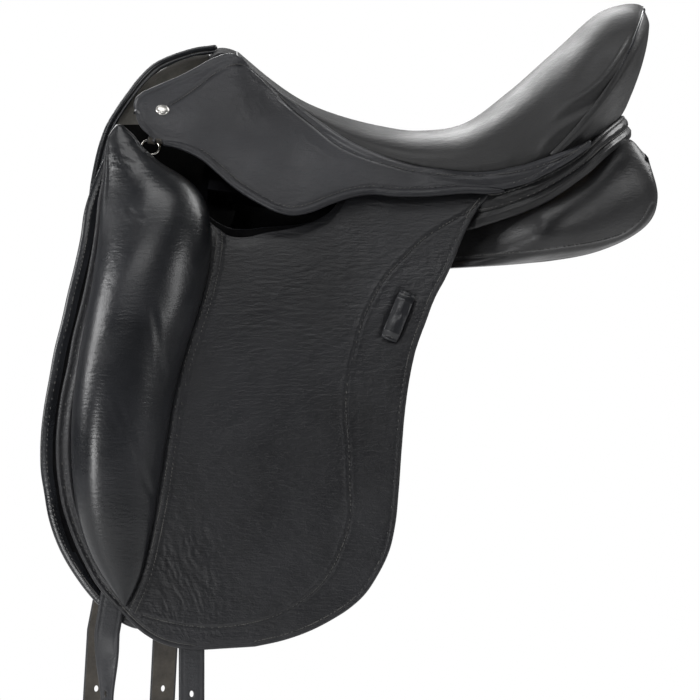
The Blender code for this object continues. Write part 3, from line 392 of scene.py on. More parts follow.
def shade_as(name, indices, wanted):
    """Shades chosen points of a piece with given normals, so that a join with its neighbour stays smooth."""
    data = MADE[name].data
    vectors = np.empty(len(data.vertices) * 3)
    data.vertex_normals.foreach_get("vector", vectors)
    vectors = vectors.reshape(-1, 3)
    vectors[indices] = wanted
    data.normals_split_custom_set_from_vertices(vectors.tolist())


def ring_faces(rings, sides, closed=False):
    """Faces between rings of points, with a flat face over each end unless the rings close on themselves."""
    faces = []
    for i in range(rings if closed else rings - 1):
        low, high = i * sides, (i + 1) % rings * sides
        for k in range(sides):
            j = (k + 1) % sides
            faces.append((low + k, low + j, high + j, high + k))
    if not closed:
        faces.append(tuple(range(sides))[::-1])
        faces.append(tuple((rings - 1) * sides + k for k in range(sides)))
    return faces


def tube_mesh(path, radius, sides, closed=False):
    """Points and faces of a round cord with domed ends; radius may vary along it."""
    count = len(path)
    radius = np.broadcast_to(radius, (count,))
    if closed:
        forward = unit(np.roll(path, -1, axis=0) - np.roll(path, 1, axis=0))
    else:
        forward = unit(np.gradient(path, axis=0))
    centre = path.mean(axis=0)
    up = np.array([0.0, 0.0, 1.0])
    rings = []
    for p, d, r in zip(path, forward, radius):
        if closed:
            up = p - centre
        across = np.cross(d, up)
        if np.linalg.norm(across) < 1e-3:
            across = np.cross(d, (0.0, 1.0, 0.0))
        across = unit(across)
        up = np.cross(across, d)
        turn = np.linspace(0, math.tau, sides, endpoint=False)[:, None]
        rings.append(p + (across * np.cos(turn) + up * np.sin(turn)) * r)
    if not closed:
        caps = []
        for end, way in ((0, -1), (-1, 1)):
            spokes = rings[end] - path[end]
            reach = forward[end] * way * radius[end]
            caps.append([path[end] + spokes * share + reach * past for share, past in CAP_RINGS])
        rings = caps[0][::-1] + rings + caps[1]
    return np.concatenate(rings), ring_faces(len(rings), sides, closed)


def tube(name, path, radius, sides, surface, body, node, closed=False):
    points, faces = tube_mesh(path, radius, sides, closed)
    add_object(name, points, faces, [surface], body, node)


def joined(parts):
    """One mesh from several (points, faces) pairs."""
    points, faces, start = [], [], 0
    for part_points, part_faces in parts:
        points.append(part_points)
        faces += [tuple(i + start for i in face) for face in part_faces]
        start += len(part_points)
    return np.concatenate(points), faces


def tree_of(*names):
    """A search tree over some of the pieces made so far."""
    points, faces, start = [], [], 0
    for name in names:
        data = MADE[name].data
        co = np.empty(len(data.vertices) * 3)
        data.vertices.foreach_get("co", co)
        points += co.reshape(-1, 3).tolist()
        faces += [tuple(i + start for i in p.vertices) for p in data.polygons]
        start = len(points)
    return BVHTree.FromPolygons(points, faces)


def cast(search, side, path):
    """Where side-view points land on the pieces, looking straight at their side: points and normals."""
    found, facing = [], []
    for x, z in path:
        hit = search.ray_cast(Vector((x, side * 0.5, z)), Vector((0, -side, 0)))
        if hit[0] is None:
            continue
        normal = hit[1] if hit[1].y * side > 0 else -hit[1]
        found.append(hit[0])
        facing.append(normal)
    return np.array(found), np.array(facing)


# One stitch, as rings of six points about its length and a point at each end
STITCH_RINGS = ((-0.36, 0.75), (0.0, 1.0), (0.36, 0.75))
STITCH_SIDES = 6


def stitch_shape():
    points = [(-0.5, 0.0, 0.0)]
    for along, size in STITCH_RINGS:
        for k in range(STITCH_SIDES):
            angle = math.tau * k / STITCH_SIDES
            points.append((along, 0.5 * size * math.cos(angle), 0.5 * size * math.sin(angle)))
    points.append((0.5, 0.0, 0.0))
    faces = []
    last = len(points) - 1
    for k in range(STITCH_SIDES):
        j = (k + 1) % STITCH_SIDES
        faces.append((0, 1 + j, 1 + k))
        for ring in range(len(STITCH_RINGS) - 1):
            low, high = 1 + ring * STITCH_SIDES, 1 + (ring + 1) * STITCH_SIDES
            faces.append((low + k, low + j, high + j, high + k))
        tail = 1 + (len(STITCH_RINGS) - 1) * STITCH_SIDES
        faces.append((tail + k, tail + j, last))
    return np.array(points), faces


STITCH_POINTS, STITCH_FACES = stitch_shape()
STITCH_PITCH, STITCH_LENGTH, STITCH_WIDTH = 3.4 * MM, 2.5 * MM, 1.15 * MM
STITCH_SLANT, STITCH_OUT, STITCH_FLAT = 0.16, 0.2 * MM, 0.8


def stitches(name, rows, body):
    """Rows of stitches as one piece; each row is (points, normals) on the leather."""
    points, faces = [], []
    for path, facing in rows:
        length = np.linalg.norm(np.diff(path, axis=0), axis=1).sum()
        count = max(2, int(length / STITCH_PITCH))
        both = resampled(np.concatenate([path, facing], axis=1), count + 1)
        spots = (both[1:, :3] + both[:-1, :3]) / 2
        normal = unit(both[1:, 3:] + both[:-1, 3:])
        along = unit(both[1:, :3] - both[:-1, :3])
        along = unit(along + np.cross(normal, along) * STITCH_SLANT)
        across = np.cross(normal, along)
        shape = STITCH_POINTS
        placed = (
            spots[:, None] + normal[:, None] * STITCH_OUT
            + along[:, None] * shape[None, :, :1] * STITCH_LENGTH
            + across[:, None] * shape[None, :, 1:2] * STITCH_WIDTH
            + normal[:, None] * shape[None, :, 2:] * STITCH_WIDTH * STITCH_FLAT
        )
        start = sum(len(p) for p in points)
        points.append(placed.reshape(-1, 3))
        for k in range(len(spots)):
            shift = start + k * len(shape)
            faces += [tuple(i + shift for i in face) for face in STITCH_FACES]
    add_object(name, np.concatenate(points), faces, [THREAD], body)


def inset(path, distance):
    """A side-view path moved to its left by this distance."""
    d = unit(np.gradient(path, axis=0))
    return path + np.stack([-d[:, 1], d[:, 0]], axis=1) * distance


# ---------------------------------------------------------------- finishes


class Finish:
    """A node material under construction: adds nodes and links them left to right."""

    def __init__(self, name):
        self.material = bpy.data.materials.new(name)
        self.material.use_nodes = True
        self.tree = self.material.node_tree
        self.shader = self.tree.nodes["Principled BSDF"]
        self.place = self.node("ShaderNodeTexCoord").outputs["Object"]

    def node(self, kind, **settings):
        made = self.tree.nodes.new(kind)
        for key, value in settings.items():
            setattr(made, key, value)
        return made

    def link(self, source, target):
        self.tree.links.new(source, target)

    def noise(self, scale, detail=3.0, roughness=0.55, stretch=None):
        made = self.node("ShaderNodeTexNoise")
        made.inputs["Scale"].default_value = scale
        made.inputs["Detail"].default_value = detail
        made.inputs["Roughness"].default_value = roughness
        self.link(self.stretched(stretch), made.inputs["Vector"])
        return made.outputs["Fac"]

    def cells(self, scale):
        made = self.node("ShaderNodeTexVoronoi")
        made.inputs["Scale"].default_value = scale
        self.link(self.place, made.inputs["Vector"])
        return made.outputs["Distance"]

    def stretched(self, stretch):
        if stretch is None:
            return self.place
        made = self.node("ShaderNodeMapping")
        made.inputs["Scale"].default_value = stretch
        self.link(self.place, made.inputs["Vector"])
        return made.outputs["Vector"]

    def ramp(self, source, low, high, first=0.35, last=0.65):
        """Maps a texture's value onto a range of numbers."""
        made = self.node("ShaderNodeMapRange")
        made.inputs["From Min"].default_value = first
        made.inputs["From Max"].default_value = last
        made.inputs["To Min"].default_value = low
        made.inputs["To Max"].default_value = high
        self.link(source, made.inputs["Value"])
        return made.outputs["Result"]

    def mix(self, factor, a, b):
        made = self.node("ShaderNodeMix", data_type="RGBA")
        self.link(factor, made.inputs["Factor"])
        for name, colour in (("A", a), ("B", b)):
            socket = next(s for s in made.inputs if s.name == name and s.type == "RGBA")
            if isinstance(colour, tuple):
                socket.default_value = (*colour, 1)
            else:
                self.link(colour, socket)
        return next(s for s in made.outputs if s.type == "RGBA")

    def bump(self, height, strength, distance):
        made = self.node("ShaderNodeBump")
        made.inputs["Strength"].default_value = strength
        made.inputs["Distance"].default_value = distance
        self.link(height, made.inputs["Height"])
        if self.shader.inputs["Normal"].is_linked:
            self.link(self.shader.inputs["Normal"].links[0].from_socket, made.inputs["Normal"])
        self.link(made.outputs["Normal"], self.shader.inputs["Normal"])

    def set(self, **values):
        for key, value in values.items():
            socket = self.shader.inputs[key.replace("_", " ")]
            if hasattr(value, "is_output"):
                self.link(value, socket)
            else:
                socket.default_value = value


def leather(name, dark, light, rough, grain=1.0, polish=0.0, crease=1.0, shine=0.5):
    """Dyed leather: pebbled grain, finer pores, faint creases and uneven wear."""
    f = Finish(name)
    wear = f.noise(9, 4)
    tone = f.mix(f.ramp(wear, 0, 1), dark, light)
    pores = f.ramp(f.noise(700, 2), 0.0, 0.35, 0.55, 0.75)
    f.set(Base_Color=f.mix(pores, tone, tuple(c * 0.5 for c in dark)))
    f.set(Roughness=f.ramp(f.noise(22, 5), rough - 0.06, rough + 0.08))
    f.set(Coat_Weight=polish, Coat_Roughness=0.22, Specular_IOR_Level=shine)
    f.bump(f.cells(600), 0.24 * grain, 0.5 * MM)
    f.bump(f.noise(1500, 2), 0.12 * grain, 0.3 * MM)
    lines = f.ramp(f.noise(330, 3, 0.5, stretch=(0.3, 0.6, 1.2)), 0, 1, 0.38, 0.62)
    f.bump(lines, 0.22 * crease, 0.5 * MM)
    f.bump(f.noise(38, 3), 0.14 * crease, 2.2 * MM)
    return f.material


def flesh_side(name, dark, light, shine=0.5):
    """The unfinished back of leather: matt, fibrous and mottled."""
    f = Finish(name)
    f.set(Base_Color=f.mix(f.ramp(f.noise(45, 6, 0.7), 0, 1), dark, light), Specular_IOR_Level=shine)
    f.set(Roughness=f.ramp(f.noise(300, 3), 0.72, 0.92))
    f.bump(f.noise(900, 4, 0.7), 0.5, 0.4 * MM)
    return f.material


def suede(name, dark, light):
    f = Finish(name)
    f.set(Base_Color=f.mix(f.ramp(f.noise(70, 6, 0.7), 0, 1, 0.3, 0.7), dark, light))
    f.set(Roughness=0.95, Sheen_Weight=0.35, Sheen_Roughness=0.45)
    f.bump(f.noise(1400, 3, 0.7), 0.6, 0.35 * MM)
    f.bump(f.noise(120, 3), 0.25, 0.8 * MM)
    return f.material


def metal(name, colour, rough, brushed=0.0):
    """Bare metal with fine scratches and a slightly uneven polish."""
    f = Finish(name)
    f.set(Metallic=1.0)
    f.set(Base_Color=f.mix(f.ramp(f.noise(120, 4), 0, 1), colour, tuple(c * 0.8 for c in colour)))
    f.set(Roughness=f.ramp(f.noise(260, 4), rough - 0.05, rough + 0.12))
    f.bump(f.noise(500, 2, stretch=(1, 14, 14)), 0.08 + brushed, 0.2 * MM)
    return f.material


def wood(name):
    """Laminated beech: pale and brown layers with a drawn-out grain."""
    f = Finish(name)
    layers = f.noise(260, 2, stretch=(0.25, 0.6, 3))
    f.set(Base_Color=f.mix(f.ramp(layers, 0, 1), (0.30, 0.17, 0.08), (0.52, 0.34, 0.18)))
    f.set(Roughness=0.5)
    f.bump(layers, 0.2, 0.4 * MM)
    return f.material


def woven(name, dark, light, pitch=1.6 * MM):
    """Plain webbing: crossed ribs with soft fibres."""
    f = Finish(name)
    ribs = []
    for direction in ("X", "Y"):
        wave = f.node("ShaderNodeTexWave", bands_direction=direction)
        wave.inputs["Scale"].default_value = 0.314 / pitch
        wave.inputs["Distortion"].default_value = 0.6
        f.link(f.place, wave.inputs["Vector"])
        ribs.append(wave.outputs["Fac"])
    both = f.node("ShaderNodeMath", operation="MULTIPLY")
    f.link(ribs[0], both.inputs[0])
    f.link(ribs[1], both.inputs[1])
    f.set(Base_Color=f.mix(f.ramp(both.outputs[0], 0, 1, 0.1, 0.6), dark, light), Roughness=0.9)
    f.bump(both.outputs[0], 0.5, 0.5 * MM)
    return f.material


def foam(name):
    f = Finish(name)
    tone = f.mix(f.ramp(f.noise(60, 4), 0, 1), (0.42, 0.36, 0.22), (0.60, 0.53, 0.36))
    f.set(Base_Color=tone, Roughness=0.95)
    f.bump(f.cells(900), 0.6, 0.6 * MM)
    return f.material


# Dark and light tone, roughness, then how strong the grain, the polish and the creases are
SEAT = leather("seat_hide", (0.013, 0.013, 0.0135), (0.028, 0.028, 0.029), 0.50, 0.7, 0.05)
POMMEL = leather("pommel_hide", (0.018, 0.018, 0.019), (0.032, 0.032, 0.034), 0.8, 1.0, shine=0.15)
FLAP = leather("flap_hide", (0.011, 0.0112, 0.013), (0.023, 0.0235, 0.027), 0.45, 1.3, 0.05, 2.4)
SKIRT = leather("skirt_hide", (0.018, 0.0185, 0.022), (0.036, 0.037, 0.043), 0.48, 1.0, 0.03, 1.4)
BLOCK = leather("block_hide", (0.010, 0.011, 0.013), (0.024, 0.025, 0.029), 0.33, 0.45, 0.25, 0.8)
PANEL = leather("panel_hide", (0.016, 0.016, 0.017), (0.034, 0.034, 0.036), 0.42, 0.5, 0.05)
EDGE = leather("edge_hide", (0.010, 0.011, 0.013), (0.024, 0.026, 0.031), 0.30, 0.4, 0.30)
STRAP = leather("strap_hide", (0.022, 0.023, 0.026), (0.040, 0.041, 0.046), 0.48, 0.9, 0.05)
BACK = flesh_side("flesh_side", (0.050, 0.045, 0.040), (0.095, 0.085, 0.072))
LINING = flesh_side("dark_lining", (0.020, 0.020, 0.021), (0.040, 0.039, 0.038))
SUEDE = suede("panel_suede", (0.150, 0.145, 0.132), (0.235, 0.225, 0.200))
THREAD = flesh_side("thread", (0.055, 0.055, 0.058), (0.120, 0.118, 0.112))
# Near-black painted shade, laid where shade falls: the panel's recess under the skirt, the sweat flap's field
# and the point pocket
SHADE = flesh_side("painted_shade", (0.003, 0.003, 0.004), (0.007, 0.007, 0.007), 0.08)
STEEL = metal("steel_parts", (0.40, 0.41, 0.43), 0.34, 0.1)
# Blackened steel, near-black also as painted shade of the recess under the skirt where the plate, bar and
# catch sit
BLACKENED_AND_SHADE = metal("blackened_steel_and_shade", (0.006, 0.006, 0.007), 0.55, 0.1)
NAIL = metal("nail_head", (0.84, 0.82, 0.78), 0.34)
BRIGHT = metal("nickel_parts", (0.80, 0.78, 0.73), 0.16)
BEECH = wood("laminated_beech")
WEB = woven("jute_web", (0.34, 0.30, 0.22), (0.62, 0.56, 0.44))
FOAM = foam("open_foam")


# ---------------------------------------------------------------- seat

SEAT_ROWS, SEAT_COLUMNS = 180, 150
SEAT_THICK, SEAT_HALF_GIRTH = 2.6 * MM, 190 * MM
SEAT_SEAM = ((-1.3, 0, 3.2), (0.5, 9, 6))
SEAT_CRINKLES = (0.35, 70, 14, 3.2, 0)
# The crown over the cantle's top and its rounded end, by how far back they start
CANTLE_CROWN, CROWN_AT, CROWN_SPAN = 4.2 * MM, 0.93, 0.075
CANTLE_ROUND, ROUND_AT = 5.5 * MM, 0.965
CANTLE_MIDDLE = 0.5
# Folds of the seat's leather beside the cantle, as side views, each with its height and width
CANTLE_FOLDS = (
    (
        mm((116, 6), (134, 20), (149, 29), (158, 35), (170, 45.5), (182.5, 60.6), (194.6, 80.5), (204, 102)),
        3.6 * MM, 3.8 * MM,
    ),
    (mm((104, -28), (112, -20), (119, -10), (134, 3.6), (151, 15.4), (164, 25)), 1.7 * MM, 4.2 * MM),
    (mm((62, 22), (80, 30), (104, 44)), -0.5 * MM, 9 * MM),
)
FOLD_HOLLOW, HOLLOW_OFF, HOLLOW_WIDTH = 0.55, 2.4, 1.5


def seat():
    u = np.linspace(0, 1, SEAT_ROWS)[:, None]
    u = blend(u, np.sin(math.pi / 2 * u), 0.5)
    v = np.linspace(-1, 1, SEAT_COLUMNS)[None, :]
    u, v = np.broadcast_arrays(u, v)
    base = seat_points(u, v)
    n = normals(base, (0, 0, 1))
    x, y, z = base[..., 0], base[..., 1], base[..., 2]
    seam = (1 - np.abs(v)) * SEAT_HALF_GIRTH
    relief = raised(seam, SEAT_SEAM)
    for path, height, width in CANTLE_FOLDS:
        away, lower_side, along = nearest(x, z, smooth_path(path, 24))
        hollow = FOLD_HOLLOW * bump(lower_side * away + HOLLOW_OFF * width, HOLLOW_WIDTH * width)
        fade = fold_fade(along, path, 0.3, 0.25) * zone(np.abs(v), 0.3, 0.3)
        relief += height * (bump(away, width) - hollow) * fade
    middle = bump(v, CANTLE_MIDDLE)
    relief += CANTLE_CROWN * bump(u - CROWN_AT, CROWN_SPAN) * middle
    over = np.clip((u - ROUND_AT) / (1 - ROUND_AT), 0, 1)
    relief -= CANTLE_ROUND * (1 - np.sqrt(1 - over**2)) * middle
    relief += crinkled(x, y, *SEAT_CRINKLES) * bump(seam - 4 * MM, 9 * MM)
    relief += uneven(x, y, 0.5, 50, 3) * zone(u, 0.05, 0.2)
    outer = base + n * relief[..., None]
    inner = base - n * SEAT_THICK
    shell("seat_cover_leather", outer, inner, SEAT, "root", "seat_cover")


# ---------------------------------------------------------------- skirt

SKIRT_OFFSET, SKIRT_THICK, SKIRT_SKIN = 8 * MM, 4 * MM, 3.2 * MM
SKIRT_OUTER = SKIRT_OFFSET + SKIRT_THICK / 2
SKIRT_TIP_TOP = mm((-252.2, 90, 17), (-252.6, 87.8, 23.5), (-250.6, 84.5, 29.5), (-245, 79.5, 34.4))
SKIRT_HEAD_TOP = mm(
    (-245, 79.5, 34.4), (-230, 71, 41), (-211, 61, 49.5), (-196, 54, 57.5), (-182, 48, 65), (-169, 45.5, 69),
)
SKIRT_TIP_LOWER = mm((-251.8, 14.5), (-250.2, 8.4), (-247.2, 3), (-243, -1.6), (-237.4, -5.6))
SKIRT_SEAM_OUT = 3.4 * MM
SKIRT_SEAM_AT = np.array([0.06, 0.15, 0.25, 0.35, 0.45, 0.55, 0.65, 0.75])
SKIRT_CREASE_START, SKIRT_CREASE_END = -236 * MM, 80 * MM
SKIRT_TAIL_TOP = mm((99, 132, -32.5), (118, 134, -26), (137, 131, -19), (155, 121, -9.5))
SKIRT_TAIL_LOWER = mm((88, 135, -51), (104, 137, -46), (121, 138, -37), (139, 133, -27), (157, 122, -14))
SKIRT_LOBE = mm(
    (-231, -10.8), (-211, -18), (-193, -27), (-180, -37.6), (-167, -48.6), (-152, -58.8), (-137.6, -67),
    (-124, -73.3), (-109.6, -76), (-95, -73.3), (-76.4, -66), (-58, -59.7), (-39.5, -57), (-17, -58.8),
    (4.5, -58.8), (42, -56), (68, -54),
)
# The lobe stands off the flap by this much, reached at this depth under the crease
LOBE_LIFT, LOBE_LIFT_DEPTH = 6 * MM, 45 * MM
LOBE_INSET, LOBE_INSET_FRONT = 2 * MM, 1.6 * MM
SKIRT_COLUMNS, TIP_SHARE, TAIL_SHARE = 280, 14, 44
SKIRT_MIDDLE = SKIRT_COLUMNS - TIP_SHARE - TAIL_SHARE
SKIRT_SPAN = slice(TIP_SHARE, TIP_SHARE + SKIRT_MIDDLE)
HEAD_ROWS, LOBE_ROWS = 46, 34
HEAD_SWELL, HEAD_STEP = 3.0 * MM, 1.2 * MM
CREASE_PASSES, CREASE_SPREAD = 60, 9
# The stitched line over the skirt, from the nail head over the pommel and along the seat
CONTOUR = mm(
    (-220.8, 23.5), (-205.4, 33.5), (-190, 45.3), (-176.5, 55.2), (-165.6, 60.2), (-155.7, 60.6),
    (-147.5, 56.1), (-135.8, 45.3), (-122.2, 32.1), (-106.8, 17.2), (-90.5, 3.6), (-75.1, -9.1),
    (-58.8, -18.6), (-36.2, -27.2), (-13.6, -33.5), (22.6, -38.9), (60, -40), (95, -36), (125, -27),
    (148, -16),
)
SKIRT_BEAD = ((1.2, 1.4, 2.6), (-0.7, 5.4, 1.3))
SKIRT_TOP_BEAD = ((0.8, 1.2, 2.0), (-0.5, 3.6, 1.2))
SKIRT_LINE = ((-0.8, 0, 1.3), (0.3, 3, 1.5))
EDGE_CRINKLES, BODY_CRINKLES = (0.45, -8, 22, 3.4), (0.40, -40, 16, 3.4)
STUD_PLACE = (-0.228, 0.019)


def from_ends(count):
    """How many columns each one is from the nearer end."""
    return np.minimum(np.arange(count), np.arange(count)[::-1])


def skirt_edges():
    """The right skirt's top edge, and its crease with the lower edges of tip and tail, column by column."""
    seam = seat_points(SKIRT_SEAM_AT, np.ones(len(SKIRT_SEAM_AT)))
    seam[:, 1] += SKIRT_SEAM_OUT
    tip_top = smooth_path(SKIRT_TIP_TOP, TIP_SHARE + 1)[:-1]
    body_top = smooth_path(np.concatenate([SKIRT_HEAD_TOP, seam, SKIRT_TAIL_TOP[:1]]), SKIRT_MIDDLE + 1)[:-1]
    top = np.concatenate([tip_top, body_top, smooth_path(SKIRT_TAIL_TOP, TAIL_SHARE)])
    tip = smooth_path(SKIRT_TIP_LOWER, TIP_SHARE + 1)[:-1]
    tip = side_points(1, tip[:, 0], tip[:, 1], SKIRT_OUTER)
    x = np.linspace(SKIRT_CREASE_START, SKIRT_CREASE_END, SKIRT_MIDDLE)
    crease = side_points(1, x, lift_z(x), SKIRT_OUTER)
    return top, np.concatenate([tip, crease, smooth_path(SKIRT_TAIL_LOWER, TAIL_SHARE)])


def skirt_grids():
    """The right skirt before its relief: the head, the lobe, and its top and lower edges in side view."""
    top, crease = skirt_edges()
    t = np.linspace(0, 1, HEAD_ROWS)[:, None, None]
    head = top[None] * (1 - t) + crease[None] * t
    head = head + np.array([0, 0.85, 0.5]) * HEAD_SWELL * np.sin(math.pi * t) * (1 - 0.35 * t)
    head[:-1] += np.array([0, 1.0, 0]) * HEAD_STEP * (1 - t[:-1])
    line_x = crease[SKIRT_SPAN, 0]
    lower = smooth_path(SKIRT_LOBE, SKIRT_MIDDLE)
    ends = 0.6 * ease(1 - np.arange(SKIRT_MIDDLE) / 16) + ease(from_ends(SKIRT_MIDDLE) / 16)
    lower = inset(lower, (LOBE_INSET + LOBE_INSET_FRONT * bump(lower[:, :1] + 0.205, 0.035)) * ends[:, None])
    lower = track(lower, (line_x - line_x[0]) / (line_x[-1] - line_x[0]))
    t = np.linspace(0, 1, LOBE_ROWS)[:, None]
    lobe_x = line_x[None] * (1 - t) + lower[None, :, 0] * t
    lobe_z = lift_z(line_x)[None] * (1 - t) + lower[None, :, 1] * t
    lift = LOBE_LIFT * np.clip((lift_z(lobe_x) - lobe_z) / LOBE_LIFT_DEPTH, 0, 1)
    lobe = side_points(1, lobe_x, lobe_z, SKIRT_OUTER + lift)
    # The crease between the two is rounded by averaging the rows beside it
    whole = np.concatenate([head[:, SKIRT_SPAN], lobe[1:]])
    share = 0.5 * bump(np.arange(len(whole)) - HEAD_ROWS + 1, CREASE_SPREAD)[1:-1, None, None]
    for _ in range(CREASE_PASSES):
        whole[1:-1] = blend(whole[1:-1], (whole[2:] + whole[:-2]) / 2, share)
    ramp = ease(from_ends(SKIRT_MIDDLE)[:, None] / 14)
    head[:, SKIRT_SPAN] = blend(head[:, SKIRT_SPAN], whole[:HEAD_ROWS], ramp)
    lobe = blend(lobe, whole[HEAD_ROWS - 1:], ramp)
    edge = np.concatenate([crease[:TIP_SHARE, [0, 2]], lower, crease[SKIRT_SPAN.stop:, [0, 2]]])
    return head, lobe, top[:, [0, 2]], edge


def skirt(label, side):
    head, lobe, top_edge, edge = skirt_grids()
    mirror = np.array([1, side, 1])
    head, lobe = head * mirror, lobe * mirror
    contour = smooth_path(CONTOUR, 60)

    def relief(grid, fade):
        x, z = grid[..., 0], grid[..., 2]
        away, seam_away, line_away = (distance(x, z, path) for path in (edge, top_edge, contour))
        rise = raised(away, SKIRT_BEAD) + raised(seam_away, SKIRT_TOP_BEAD) + raised(line_away, SKIRT_LINE)
        rise += crinkled(x, z, *EDGE_CRINKLES) * bump(away - 14 * MM, 14 * MM) * zone(x, -0.07, 0.05)
        rise += crinkled(x, z, *BODY_CRINKLES) * ease(-x / 0.08) * zone(seam_away, 8 * MM, 12 * MM)
        rise += uneven(x, z, 0.5, 30, 11, 4)
        return (rise * ease(fade))[..., None]

    # The relief fades out at the crease, so that head and lobe meet on the same line
    head_fade = np.repeat(np.linspace(1, 0, HEAD_ROWS)[:, None] * 4, SKIRT_COLUMNS, axis=1)
    head_fade[:, :TIP_SHARE] = 1
    past_crease = np.clip((np.arange(SKIRT_COLUMNS) - SKIRT_SPAN.stop + 20) / 20, 0, 1)
    head_fade = np.maximum(head_fade, past_crease[None])
    lobe_fade = np.repeat(np.linspace(0, 1, LOBE_ROWS)[:, None] * 4, SKIRT_MIDDLE, axis=1)
    out = np.array([0, side, 0])
    head_n, lobe_n = normals(head, out), normals(lobe, out)
    head_n[-1, SKIRT_SPAN] = lobe_n[0] = unit(head_n[-1, SKIRT_SPAN] + lobe_n[0])
    head_outer = head + head_n * relief(head, head_fade)
    lobe_outer = lobe + lobe_n * relief(lobe, lobe_fade)
    head_inner = head - out * SKIRT_SKIN
    lobe_inner = lobe - lobe_n * SKIRT_SKIN
    lobe_inner[0] = lobe[0] - out * SKIRT_SKIN
    head_name, lobe_name = f"skirt_head_leather_{label}", f"skirt_leather_{label}"
    for name, outer, inner, body, node, joint_row in (
        (head_name, head_outer, head_inner, "root", f"skirt_head_{label}", -1),
        (lobe_name, lobe_outer, lobe_inner, f"skirt_{label}", f"skirt_{label}", 0),
    ):
        shell(name, outer, inner, SKIRT, body, node, (joint_row,))
    across = normals(np.concatenate([head_outer[:, SKIRT_SPAN], lobe_outer[1:]]), out)[HEAD_ROWS - 1]
    shade_as(head_name, (HEAD_ROWS - 1) * SKIRT_COLUMNS + np.arange(SKIRT_COLUMNS)[SKIRT_SPAN], across)
    shade_as(lobe_name, np.arange(SKIRT_MIDDLE), across)
    head_tree, lobe_tree = tree_of(head_name), tree_of(lobe_name)
    row = inset(smooth_path(edge[SKIRT_SPAN], 160), 5.4 * MM)
    lobe_row = row[row[:, 1] < lift_z(row[:, 0]) - 1.5 * MM]
    tail_row = inset(smooth_path(SKIRT_TAIL_LOWER[:, [0, 2]], 30), 4 * MM)
    rows = [cast(head_tree, side, contour), cast(head_tree, side, tail_row)]
    stitches(f"skirt_head_stitching_{label}", [r for r in rows if len(r[0]) > 2], "root")
    stitches(f"skirt_stitching_{label}", [cast(lobe_tree, side, lobe_row)], f"skirt_{label}")


# ---------------------------------------------------------------- pommel and cantle

SKIN_HALF = 1.3 * MM
POMMEL_ROLL = mm(
    (-149, 57), (-155, 65), (-161, 71), (-169, 74.2), (-179, 74.2), (-185, 69), (-186, 58), (-181, 50),
)
POMMEL_HALF_WIDTH, POMMEL_SINK = 40 * MM, 5 * MM
POMMEL_FOLD, POMMEL_FOLD_AT, POMMEL_FOLD_WIDTH = 0.6 * MM, 0.66, 0.04


def pommel():
    """The roll over the front of the pommel, tucked under the seat's front edge."""
    profile = smooth_path(POMMEL_ROLL, 40)
    v = np.linspace(-1, 1, 60)[None, :]
    grid = np.stack([
        profile[:, :1] + 0 * v,
        POMMEL_HALF_WIDTH * v + 0 * profile[:, :1],
        profile[:, 1:] - POMMEL_SINK * (1 - np.cos(v * math.pi / 2)),
    ], axis=-1)
    n = normals(grid, (-0.5, 0, 1))
    down = np.linspace(0, 1, 40)[:, None]
    relief = 0.2 * MM * noise(down * 9, v * 6) - POMMEL_FOLD * bump(down - POMMEL_FOLD_AT, POMMEL_FOLD_WIDTH)
    outer = grid + n * (SKIN_HALF + relief)[..., None]
    inner = grid - n * SKIN_HALF
    shell("pommel_roll", outer, inner, POMMEL, "root", "pommel_cover")


CANTLE_FOOT = mm(
    (182, 0, 13), (180, 40, 11.5), (174.5, 74, 6), (157, 104.5, -6.5), (136, 119.5, -18), (121, 125, -24),
)
CANTLE_FOOT_V = 0.955
CANTLE_SWELL = 9 * MM
CANTLE_BACK_START, CANTLE_BACK_TUCK = 0.012, 1.16
CANTLE_BACK_FOLD = mm((112, -17), (122, -6), (134, 3), (150, 14))
FOLD_HEIGHT, FOLD_WIDTH = 1.5 * MM, 4 * MM
# How far the back's top edge and the piping sink below the seat's rim in the middle
CANTLE_SUNK, PIPING_SUNK = 7 * MM, 6.5 * MM
WELT_RADIUS = 1.5 * MM


def cantle_back_points(v, s):
    """The back of the cantle: v from left to right as on the seat, s from the rim down."""
    rim = seat_points(np.ones_like(v), v)
    spread = np.minimum(1.0, np.abs(v) / CANTLE_FOOT_V)
    foot = track(CANTLE_FOOT, spread)
    foot[..., 1] *= np.sign(v)
    rim[..., 2] -= CANTLE_SUNK * bump(v, CANTLE_MIDDLE)
    point = rim * (1 - s[..., None]) + foot * s[..., None]
    out = unit(np.stack([np.ones_like(v), 0.5 * v, 0.2 + 0 * v], axis=-1))
    reach = 3.2 * MM + CANTLE_SWELL * np.sin(math.pi * np.minimum(1.0, 0.12 + s * 0.88)) * (1 - 0.6 * spread)
    reach = blend(0.6 * MM, reach, np.sin(math.pi / 2 * np.minimum(1.0, s / 0.16)) ** 0.8)
    reach = reach - 16 * MM * np.maximum(0.0, s - 1)
    return point + out * reach[..., None], out


